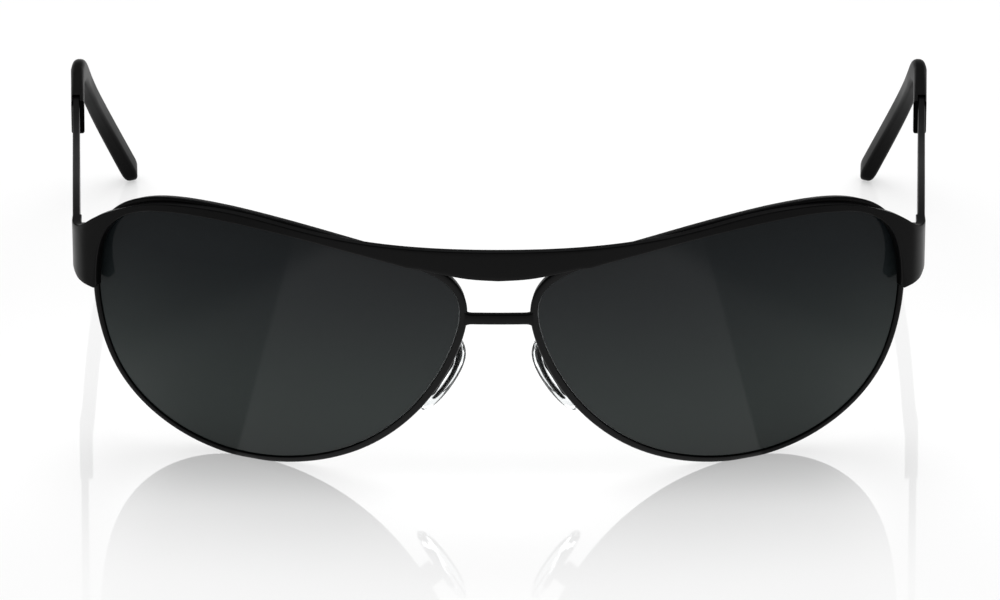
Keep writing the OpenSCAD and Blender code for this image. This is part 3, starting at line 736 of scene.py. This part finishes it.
def screw_tree() -> Tree:
    """Geometry nodes for slotted screws: one on each point, turned by the point's turn attribute."""
    tree = tree_with("slotted_screws", "GeometryNodeTree", {
        "Points": "Geometry", "Shank radius": "Float", "Shank length": "Float", "Head radius": "Float",
        "Head height": "Float", "Slot width": "Float", "Rise": "Float", "Finish": "Material"}, {"Screws": "Geometry"})
    wall, crown = 0.65, 0.72  # shares of the head's height below its crown, and of its radius on top
    given = add(tree, "NodeGroupInput").outputs
    sums = partial(maths, tree)

    def mesh(kind: str, inputs: dict[str, object], height: Socket | None = None) -> Socket:
        """A primitive, moved up by a height."""
        shape = add(tree, f"GeometryNodeMesh{kind}", inputs).outputs["Mesh"]
        if height is None:
            return shape
        offset = add(tree, "ShaderNodeCombineXYZ", {"Z": height}).outputs[0]
        return add(tree, "GeometryNodeTransform", {"Geometry": shape, "Translation": offset}).outputs["Geometry"]

    head_r, head_h = given["Head radius"], given["Head height"]
    low = sums("ADD", sums("MULTIPLY", given["Shank length"], 0.5), given["Rise"])
    wall_h = sums("MULTIPLY", head_h, wall)
    parts = [mesh("Cylinder", {"Vertices": 40, "Radius": head_r, "Depth": wall_h},
                  sums("ADD", low, sums("MULTIPLY", wall_h, 0.5))),
             mesh("Cone", {"Vertices": 40, "Radius Top": sums("MULTIPLY", head_r, crown), "Radius Bottom": head_r,
                           "Depth": sums("MULTIPLY", head_h, 1 - wall)}, sums("ADD", low, wall_h))]
    size = add(tree, "ShaderNodeCombineXYZ", {"X": sums("MULTIPLY", head_r, 3.0), "Y": given["Slot width"],
                                              "Z": head_h}).outputs[0]
    cutter = mesh("Cube", {"Size": size}, sums("ADD", low, head_h))
    joined = add(tree, "GeometryNodeJoinGeometry")
    for part in parts:
        kept = add(tree, "GeometryNodeMeshBoolean", {"Mesh 1": part, "Mesh 2": cutter}, operation="DIFFERENCE",
                   solver="EXACT")
        feed(tree, joined, {"Geometry": kept.outputs["Mesh"]})
    feed(tree, joined, {"Geometry": mesh("Cylinder", {
        "Vertices": 32, "Radius": given["Shank radius"], "Depth": given["Shank length"]})})
    turn = add(tree, "GeometryNodeInputNamedAttribute", {"Name": "turn"}, data_type="FLOAT_VECTOR")
    turned = add(tree, "FunctionNodeEulerToRotation", {0: turn.outputs["Attribute"]})
    spread = add(tree, "GeometryNodeInstanceOnPoints", {
        "Rotation": turned.outputs[0], "Points": given["Points"], "Instance": joined.outputs["Geometry"]})
    painted(tree, spread.outputs["Instances"], given["Finish"], "Screws")
    return tree


def grown(name: str, source: Object, tree: Tree, values: dict[str, object],
          material: Material, sharp: float) -> Object:
    """Runs a geometry tree on an object and keeps the result as a plain mesh.

    Args:
        name: piece name.
        source: object with the points or the curve; it is removed.
        tree: the geometry tree.
        values: its inputs by name.
        material: finish of the result.
        sharp: edges that turn by more degrees than this stay crisp.

    Returns:
        The object.
    """
    modifier = source.modifiers.new("grow", "NODES")
    modifier.node_group = tree
    values = {**values, "Finish": material}
    for item in tree.interface.items_tree:
        if item.item_type == "SOCKET" and item.in_out == "INPUT" and item.name in values:
            modifier[item.identifier] = values[item.name]
    bm = bmesh.new()
    bm.from_mesh(evaluated(source))
    bpy.data.objects.remove(source)
    bmesh.ops.remove_doubles(bm, verts=bm.verts, dist=1e-8)
    bmesh.ops.recalc_face_normals(bm, faces=bm.faces)
    return finished(name, bm, material, sharp)


def point_object(name: str, points: list[Vector], turns: list[Euler]) -> Object:
    """Points with a turn attribute, for a geometry tree to work on."""
    mesh = bpy.data.meshes.new(name)
    mesh.from_pydata([tuple(p) for p in points], [], [])
    turn = mesh.attributes.new("turn", "FLOAT_VECTOR", "POINT")
    turn.data.foreach_set("vector", [c for t in turns for c in t])
    return linked(name, mesh)


def curve_object(name: str, points: Array) -> Object:
    """Poly curve through points in millimetres, for a geometry tree to work on."""
    data = bpy.data.curves.new(name, "CURVE")
    data.dimensions = "3D"
    spline = data.splines.new("POLY")
    spline.points.add(len(points) - 1)
    for point, p in zip(spline.points, points):
        point.co = (*(p * MM), 1)
    return linked(name, data)


@dataclass
class LowerBridge:
    """The curved bar between the noseward sides of the rims."""

    shape: FrontShape
    rim: Eyewire
    height: float = 1.8
    depth: float = 1.2
    middle_z: float = 32.3
    corner: float = 0.28
    into_rim: float = 0.5
    fillet: float = 0.22
    fillet_run: float = 1.1
    fillet_lead: float = 0.25
    stations: int = 49

    def build(self, finish: Finishes) -> None:
        """Makes the bar."""
        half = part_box("lower_bridge")[1].x / MM
        inner = self.shape.radius - (self.rim.depth + self.depth) / 2
        rings = []
        for x in np.linspace(-1, 1, self.stations) * (half + self.into_rim):
            flare = self.fillet * max(0.0, 1 - (half + self.fillet_lead - abs(x)) / self.fillet_run) ** 3
            c, d, h = self.corner, self.depth, self.height / 2 + flare
            a = math.asin(x / (inner + d))
            rings.append([(math.sin(a) * (inner + r), self.shape.shift - math.cos(a) * (inner + r),
                           self.middle_z + z) for r, z in rounded(0, d, h, c, 4)])
        bar = mesh_object("bridge_bar", rings, finish.coat, 40)
        dress(bar, "lower_bridge")


@dataclass
class TempleArm:
    """A temple: a blade that narrows to its core, and the moulded tip sleeve over the core."""

    shape: FrontShape
    splay: float = 3.2
    blade_t: float = 1.2
    blade_end_h: float = 3.7
    end_h: float = 8.1
    end_mid: float = 35.19
    sleeve_z: float = 33.6
    sleeve_start: float = 57.0
    ear_start: float = 81.5
    drop_l: float = 32.0
    drop_in: float = 9.5
    core_h: float = 2.0
    knuckle_r: float = 1.3
    side_gap: float = 0.1
    butt_gap: float = 0.32
    sleeve_t: float = 2.25
    sleeve_end_t: float = 2.9
    sleeve_h: float = 4.5
    sleeve_end_h: float = 3.7
    sleeve_shift: float = 0.27
    slot_l: float = 7.0
    sleeve_rake: float = 4.0
    front_corner: float = 0.35
    bend_corner: float = 1.0
    end_corner: float = 0.75
    blade_corner: float = 0.16
    core_short: int = 12
    ahead_steps: int = 37
    slot_steps: int = 9
    lip: float = 0.94
    lip_ahead: float = 0.12
    end_round: Pair = (3.4, 2.0)
    drop_shape: tuple[Triple, ...] = (
        (0, -0.1, 1), (0.04, 0.04, 1), (0.09, 0.19, 0.9), (0.19, 0.44, 0.71), (0.46, 0.75, 0.42), (1, 1, 0.01))

    def __post_init__(self) -> None:
        """Works out the temple's line and its directions at dense stations."""
        self.mid = self.knuckle_r + self.side_gap + self.shape.plate_t - self.blade_t / 2
        pulls = np.array([(self.mid - a * self.drop_in, self.ear_start + b * self.drop_l, c * self.sleeve_z)
                          for a, b, c in self.drop_shape])
        drop = open_curve(pulls, 12)
        slot_end = self.sleeve_start + self.slot_l
        ahead = [(self.mid, mix(self.butt_gap, self.sleeve_start, t), mix(self.end_mid, self.sleeve_z, eased(t)))
                 for t in np.linspace(0, 1, self.ahead_steps)]
        level = [(self.mid, y, self.sleeve_z) for y in (
            *np.linspace(self.sleeve_start, slot_end - 0.25, self.slot_steps)[1:], slot_end - 0.02, slot_end,
            slot_end + 0.25, slot_end + 4, slot_end + 8)]
        blunt = [mix(drop[-4], drop[-1], t) for t in (0.15, 0.3, 0.45, 0.6, 0.72, 0.82, 0.89, 0.94, 0.97, 0.99, 1)]
        self.line = np.array(ahead + level + list(drop[:-3]) + blunt)
        self.sleeve_first = len(ahead) - 1
        self.slot_last = self.sleeve_first + self.slot_steps
        ends = np.vstack([self.line[:1], self.line, self.line[-1:]])
        self.ahead = unit(ends[2:] - ends[:-2])
        self.up = unit(np.stack([np.zeros(len(self.line)), -self.ahead[:, 2], self.ahead[:, 1]], -1))
        self.out = np.cross(self.ahead, self.up)
        run = np.linalg.norm(np.diff(self.line, axis=0), axis=1)
        self.run = np.concatenate([[0], np.cumsum(run)])

    def section(self, i: int, x: float, z: float, c: float) -> Array:
        """Flat section with rounded corners across the line."""
        return np.array([self.line[i] + a * self.out[i] + b * self.up[i] for a, b in rounded(-x, x, z, c, 3)])

    def blade(self) -> Array:
        """The blade and the core."""
        rings = []
        for i, p in enumerate(self.line[:-self.core_short]):
            share = min(1.0, max(0.0, (p[1] - self.butt_gap) / (self.sleeve_start - self.butt_gap)))
            height = mix(self.end_h, self.blade_end_h, eased(share)) if i <= self.slot_last else self.core_h
            rings.append(self.section(i, self.blade_t / 2, height / 2, self.blade_corner))
        return np.array(rings)

    def sleeve_ring(self, i: int) -> Array:
        """Section of the sleeve: a box with rounded corners that grow softer towards its end."""
        first, last = self.sleeve_first, len(self.line) - 1
        e = eased((self.run[i] - self.run[first]) / (self.run[last] - self.run[first]))
        left = self.run[last] - self.run[i]
        close, close_z = (math.sqrt(max(0.002, 1 - (1 - min(1.0, left / r)) ** 2)) for r in self.end_round)
        lip = self.lip if i == first else 1.0
        x = lip * close * mix(self.sleeve_t, self.sleeve_end_t, e * e) / 2
        z = lip * close_z * mix(self.sleeve_h, self.sleeve_end_h, min(1, 2 * e)) / 2
        c = min(x, float(np.interp(e, (0, 0.3, 1), (self.front_corner, self.bend_corner, self.end_corner))) * close)
        rake = self.sleeve_rake / 2 if i <= first + 1 else 0
        ahead = self.lip_ahead if i == first + 1 else 0
        at = self.line[first] if i <= first + 1 else self.line[i]
        ring = np.array([at + (a - self.sleeve_shift) * self.out[i] + b * self.up[i]
                         + (ahead + rake * (1 + b / z)) * self.ahead[i] for a, b in rounded(-x, x, z, c, 6)])
        ring[:, 2] = np.maximum(ring[:, 2], 0)
        return ring

    def sleeve(self) -> Array:
        """The tip sleeve, before its slot is cut."""
        first, clear = self.sleeve_first, self.sleeve_start + self.sleeve_rake + 0.4
        return np.array([self.sleeve_ring(i) for i in range(first, len(self.line))
                         if i < first + 2 or self.line[i][1] > clear])

    def slot_cutter(self) -> Array:
        """Box that opens the sleeve's top over the blade, from its front to the slot's end."""
        half = self.blade_t / 2 + self.shape.seat_gap
        y = (self.sleeve_start - 1, self.sleeve_start + self.slot_l)
        z = (self.sleeve_z + self.blade_end_h / 2 - 0.4, self.sleeve_z + self.sleeve_h)
        return np.array([[(self.mid + a * half, y[b], z[k]) for a, b in ((-1, 0), (1, 0), (1, 1), (-1, 1))]
                         for k in (0, 1)])

    def placed(self, rings: Array) -> Array:
        """Rings turned out by the splay and set at the left hinge's axis."""
        a = math.radians(-self.splay)
        turn = np.array([[math.cos(a), -math.sin(a), 0], [math.sin(a), math.cos(a), 0], [0, 0, 1]])
        x, y, _ = hinge_axis()
        return rings @ turn.T + np.array([x / MM, y / MM, 0])

    def build(self, finish: Finishes) -> None:
        """Makes both temples with their tips and hinge leaves."""
        blade, sleeve, cutter = map(self.placed, (self.blade(), self.sleeve(), self.slot_cutter()))
        for side in Side:
            body = Body.TEMPLE.of(side)
            dress(mesh_object(f"temple_blade_{side.word}", blade, finish.coat, 40, side),
                  f"temple_{side.word}", body)
            tip = carved(mesh_object(f"tip_sleeve_{side.word}", sleeve, finish.tip, 45, side),
                         mesh_object("slot_cutter", cutter, finish.tip, 45, side), 45)
            dress(tip, f"tip_{side.word}", body)
            softened(f"hinge_temple_{side.word}", f"temple_leaf_{side.word}", finish.hinge, 0.1, body)


@dataclass
class NosePad:
    """A clear silicone pad over its stamped core, with the arm, box and screw that hold it."""

    shape: FrontShape
    rim: Eyewire
    x: float = 11.2
    z: float = 18.4
    back: float = 8.5
    length: float = 14.0
    width: float = 7.4
    thickness: float = 2.4
    lean: float = 31.0
    turn: float = 24.0
    lug: float = 2.15
    box_d: float = 2.2
    box_open: float = 1.05
    arm_r: float = 0.55
    arm_back: float = 2.5
    arm_on: float = 2.4
    arm_bow: float = 2.0
    arm_index: int = 32
    arm_sides: int = 24
    pulls: tuple[Pair, ...] = ((0, 1), (0.75, 0.93), (1, 0.45), (0.93, -0.35), (0.6, -0.95), (0, -1.08))
    levels: tuple[Triple, ...] = (
        (0.2, -0.5, 0.2), (0.45, -0.5, 0.2), (0.8, -0.42, 0.15), (0.96, -0.2, 0.08), (1, 0.05, 0.04),
        (0.85, 0.33, 0.12), (0.5, 0.4, 0.15), (0.2, 0.4, 0.15))

    def __post_init__(self) -> None:
        """Works out the pad screw's place and the pad's turn."""
        self.at = self.shape.on_ball(np.array([self.x, self.z])) + np.array([0, self.back, 0])
        self.axes = np.array((Matrix.Rotation(math.radians(-self.lean), 3, "Y")
                              @ Matrix.Rotation(math.radians(-self.turn), 3, "Z")))
        self.out = self.axes[:, 0]

    def pad(self) -> Array:
        """The pad's smooth skin."""
        half = open_curve(np.array(self.pulls), 8)
        outline = np.vstack([half, half[-2:0:-1] * np.array([-1, 1])])
        rings = []
        for share, height, hollow in open_curve(np.array(self.levels), 5):
            y, z = share * outline[:, 0] * self.width / 2, share * outline[:, 1] * self.length / 2
            x = -self.lug + self.thickness * (height - hollow * (1 - (2 * z / self.length) ** 2))
            rings.append(np.stack([x, y, z], -1) @ self.axes.T + self.at)
        return np.array(rings)

    def arm(self) -> Array:
        """The path of the arm's wire from the back of the rim to the back of the pad box."""
        s = self.shape
        i = self.arm_index * s.steps // 4
        away, out = s.away[i], s.out[i]
        start = s.place[i] + s.rim_w / 2 * away - (self.rim.depth + s.seat_gap) * out
        end = self.at + (self.box_d - self.box_open + s.seat_gap) * self.out
        return open_curve(np.array([
            start, start - self.arm_back * out, start - 2 * self.arm_back * out + [self.arm_bow, 0, 0.5],
            end + 1.5 * self.arm_on * self.out + [0, self.arm_bow, self.arm_bow],
            end + self.arm_on * self.out, end]), 10)

    def build(self, finish: Finishes) -> None:
        """Makes both pads with their arms, boxes and cores."""
        group, pad, path = wire_tree(), self.pad(), self.arm()
        for side in Side:
            body = Body.PAD.of(side)
            dress(mesh_object(f"silicone_pad_{side.word}", pad, finish.clear, 60, side),
                  f"pad_{side.word}", body)
            softened(f"pad_core_{side.word}", f"pad_plate_{side.word}", finish.core, 0.06, body)
            line = curve_object("arm_line", path * np.array([side.value, 1, 1]))
            arm = grown(f"arm_wire_{side.word}", line, group, {"Radius": self.arm_r * MM, "Sides": self.arm_sides},
                        finish.coat, 50)
            dress(arm, f"pad_arm_{side.word}")
            softened(f"pad_box_{side.word}", f"pad_holder_{side.word}", finish.coat, 0.12)


@dataclass(frozen=True)
class ScrewSize:
    """Sizes of one kind of screw in millimetres."""

    shank_r: float
    shank_l: float
    head_r: float
    head_h: float
    slot_w: float = 0.3


@dataclass
class Fittings:
    """Hinge leaves on the front, rim locks and every screw."""

    shape: FrontShape
    rim: Eyewire
    pads: NosePad
    seat_gap: float = 0.05
    hinge_screw: ScrewSize = ScrewSize(0.7, 5.2, 1.1, 0.5)
    lock_screw: ScrewSize = ScrewSize(0.55, 4.6, 0.9, 0.5)
    pad_screw: ScrewSize = ScrewSize(0.45, 3.0, 0.8, 0.4)
    lock_back: float = 1.1

    def screws(self, kind: str, node: str, place: Vector, turn: Euler, size: ScrewSize, tree: Tree,
               finish: Finishes) -> None:
        """Makes the two screws of one kind as one piece.

        Args:
            kind: kind of screw, which begins the piece's name.
            node: CAD node that they stand for.
            place: middle of the left shank in metres.
            turn: its turn.
            size: the screws' sizes.
            tree: the screws' geometry tree.
            finish: every finish.
        """
        flip = Matrix.Diagonal((-1, 1, 1))
        points = point_object(f"{kind}_points", [place, flip @ place],
                              [turn, (flip @ turn.to_matrix() @ flip).to_euler()])
        sizes = {"Shank radius": size.shank_r, "Shank length": size.shank_l, "Head radius": size.head_r,
                 "Head height": size.head_h, "Slot width": size.slot_w, "Rise": self.seat_gap}
        piece = grown(f"{kind}_screw_pair", points, tree, {key: value * MM for key, value in sizes.items()},
                      finish.steel, 35)
        dress(piece, node)

    def build(self, finish: Finishes) -> None:
        """Makes the fittings."""
        for side in Side:
            for node, name, material, slot, width in (
                    ("hinge_front", "front_leaf", finish.hinge, "hinge_black", 0.1),
                    ("rim_lock", "lock_blocks", finish.coat, "frame_black", 0.14)):
                softened(f"{node}_{side.word}", f"{name}_{side.word}", material, width)
        tree, s, pads = screw_tree(), self.shape, self.pads
        self.screws("hinge", "hinge_screws", Vector(hinge_axis()), Euler((0, 0, 0)), self.hinge_screw, tree, finish)
        at = s.place[0]
        tilt = math.asin((s.ball_z - at[2]) / s.radius)
        turn = math.asin(at[0] / math.hypot(at[0], at[1] - s.shift))
        local = Matrix.Rotation(turn, 3, "Z") @ Matrix.Rotation(tilt, 3, "X")
        middle = Vector(at) + local @ Vector(((s.rim_w - self.rim.taper) / 2,
                                              self.rim.depth + self.seat_gap + self.lock_back, 0))
        self.screws("lock", "rim_lock_screws", middle * MM, local.to_euler(), self.lock_screw, tree, finish)
        axes = Matrix(pads.axes.tolist()) @ Matrix.Rotation(math.radians(-90), 3, "X")
        self.screws("pad", "pad_screws", Vector(pads.at) * MM, axes.to_euler(), self.pad_screw, tree, finish)


# The stage

@dataclass
class Studio:
    """Pale floor, soft lights and the camera at the photograph's angle.

    A zone is a source on the floor, the two places in millimetres between which it acts, and the levels
    before and after them. Polish is the floor's coat. The painted front and side glow are painted light: patches
    of the floor's glow that only glossy rays find, which show in the frame and lenses as painted reflections. The
    painted foot shadow is a soft contact shadow painted into the floor's glow.
    """

    floor_half: float = 3.0
    floor_grey: float = 0.42
    floor_rough: float = 0.6
    coat_ior: float = 3.2
    coat_rough: float = 0.03
    glow: float = 0.54
    card_distance: float = 5.0
    card_size: Pair = (1.15, 0.8)
    top_place: Triple = (0, 0.1, 1.3)
    top_size: Pair = (2.0, 2.0)
    top_power: float = 27.0
    horizon: Pair = (0.0, 0.12)
    overhead: float = 0.12
    slant: float = 0.52
    polish: tuple[Zone, ...] = (("y", -104, -56, 0.2, 1.0), ("y", -40, 30, 1.0, 0.4), ("across", 52, 68, 1.0, 0.4))
    # Painted light: patches where the floor glows only to glossy rays, seen as reflections and highlights on the frame
    # and lenses.
    painted_front_glow: tuple[Zone, ...] = (
        ("slant", 16.6, 17.4, 1.45, 0.6), ("y", -165, -145, 0.1, 1.0), ("across", 70, 88, 1.0, 0.3))
    painted_side_glow: tuple[Zone, ...] = (("across", 90, 104, 0.0, 1.6), ("y", -52, -34, 0.0, 1.0), ("y", 40, 60, 1.0, 0.0))
    # Painted shadow: a soft contact shadow painted into the floor's glow around the front's foot.
    painted_foot_shadow: tuple[Zone, ...] = (
        ("y", -74, -52, 0.0, 0.26), ("y", -48, -20, 1.0, 0.0), ("across", 50, 70, 1.0, 0.0))
    sensor: float = 36.0
    lens_per_sensor: float = 7.26
    elevation: float = 23.0
    distance: float = 1.2
    target: Triple = (0.0002, -0.04464, 0.025067)

    def floor(self) -> Object:
        """The floor: pale, a little glossy, and bright to the camera, with a contact shadow painted into its glow and
        painted glow patches that only glossy rays find.
        """
        mesh = bpy.data.meshes.new("floor")
        h = self.floor_half
        mesh.from_pydata([(-h, -h, 0), (h, -h, 0), (h, h, 0), (-h, h, 0)], [], [(0, 1, 2, 3)])
        obj = linked("floor", mesh)
        material, tree, shader, place = new_material("pale_floor")
        split = add(tree, "ShaderNodeSeparateXYZ", {0: place["Object"]}).outputs
        across = maths(tree, "ABSOLUTE", split["X"])
        sources = {"y": split["Y"], "across": across,
                   "slant": maths(tree, "MULTIPLY_ADD", split["Y"], self.slant, across)}

        def product(zones: tuple[Zone, ...]) -> Socket:
            """Product of the eased changes of some zones."""
            levels = [ramp(tree, sources[source], (start, end), (low, high), MM, "SMOOTHSTEP")
                      for source, start, end, low, high in zones]
            return reduce(partial(maths, tree, "MULTIPLY"), levels)

        feed(tree, shader, {
            "Base Color": (*[self.floor_grey] * 3, 1), "Roughness": self.floor_rough, "Specular IOR Level": 0.0,
            "Coat IOR": self.coat_ior, "Coat Roughness": self.coat_rough, "Coat Weight": product(self.polish)})
        path = add(tree, "ShaderNodeLightPath").outputs
        seen = maths(tree, "MAXIMUM", path["Is Camera Ray"], path["Is Transmission Ray"])
        # The floor's glow to the camera is darkened by the painted contact shadow.
        seen = maths(tree, "MULTIPLY", seen, maths(tree, "SUBTRACT", 1.0, product(self.painted_foot_shadow)))
        # Glossy rays find the painted glow patches; camera and transmission rays find the plain glow less the painted
        # shadow.
        painted_glow = maths(tree, "MAXIMUM", product(self.painted_front_glow), product(self.painted_side_glow))
        level = maths(tree, "MULTIPLY_ADD", path["Is Glossy Ray"], painted_glow, seen)
        glow = add(tree, "ShaderNodeEmission", {"Strength": maths(tree, "MULTIPLY", level, self.glow)})
        both = add(tree, "ShaderNodeAddShader", {0: shader.outputs["BSDF"], 1: glow.outputs[0]})
        output = next(n for n in tree.nodes if n.type == "OUTPUT_MATERIAL")
        feed(tree, output, {"Surface": both.outputs[0]})
        mesh.materials.append(material)
        return obj

    def world(self) -> None:
        """A studio that is white round the horizon and dark overhead."""
        world = bpy.data.worlds.new("studio")
        bpy.context.scene.world = world
        world.use_nodes = True
        tree = world.node_tree
        tree.nodes.clear()
        place = add(tree, "ShaderNodeTexCoord").outputs["Generated"]
        height = add(tree, "ShaderNodeSeparateXYZ", {0: place}).outputs["Z"]
        path = add(tree, "ShaderNodeLightPath").outputs
        seen = maths(tree, "MAXIMUM", ramp(tree, height, self.horizon, (1.0, self.overhead), kind="SMOOTHSTEP"),
                     path["Is Transmission Ray"])
        back = add(tree, "ShaderNodeBackground", {"Color": (1, 1, 1, 1), "Strength": seen})
        add(tree, "ShaderNodeOutputWorld", {"Surface": back.outputs[0]})

    def lamp(self, name: str, place: Triple, size: Pair, power: float, mirrored_by: Object | None = None) -> None:
        """A soft panel that looks at the sunglasses.

        Args:
            name: name of the lamp.
            place: middle of the panel in metres.
            size: width and height in metres.
            power: watts.
            mirrored_by: the only object that the panel lights and shows in, or none for a panel
                that lights everything and shows in nothing.
        """
        data = bpy.data.lights.new(name, "AREA")
        data.shape, data.size, data.size_y, data.energy = "RECTANGLE", *size, power
        obj = linked(name, data)
        obj.location = place
        obj.rotation_euler = (Vector(self.target) - Vector(place)).to_track_quat("-Z", "Y").to_euler()
        obj.visible_glossy = mirrored_by is not None
        if mirrored_by:
            only = bpy.data.collections.new(name + "_only")
            only.objects.link(mirrored_by)
            obj.light_linking.receiver_collection = only

    def camera(self) -> None:
        """The camera."""
        data = bpy.data.cameras.new("camera")
        data.sensor_width = self.sensor
        data.lens = self.sensor * self.lens_per_sensor
        obj = linked("camera", data)
        a = math.radians(self.elevation)
        obj.location = Vector(self.target) + self.distance * Vector((0, -math.cos(a), math.sin(a)))
        obj.rotation_euler = (math.pi / 2 - a, 0, 0)
        bpy.context.scene.camera = obj

    def build(self) -> None:
        """Makes the stage."""
        self.camera()
        floor = self.floor()
        self.world()
        self.lamp("top_light", self.top_place, self.top_size, self.top_power)
        a, far = math.radians(self.elevation), self.card_distance
        self.lamp("floor_card", (0, far * math.cos(a), far * math.sin(a)), self.card_size,
                  math.pi * self.card_size[0] * self.card_size[1], floor)
        bpy.context.scene.view_settings.view_transform = "Standard"


def main() -> None:
    """Builds the stage and every sub-assembly in order."""
    logging.basicConfig(level=logging.INFO, format="%(message)s")
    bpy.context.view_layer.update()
    Studio().build()
    finish = Finishes()
    shape = FrontShape()
    rim = Eyewire(shape)
    rim.build(finish)
    Lens(shape, rim).build(finish)
    BrowPlate(shape).build(finish)
    LowerBridge(shape, rim).build(finish)
    pads = NosePad(shape, rim)
    pads.build(finish)
    Fittings(shape, rim, pads).build(finish)
    TempleArm(shape).build(finish)


if __name__ == "__main__":
    main()
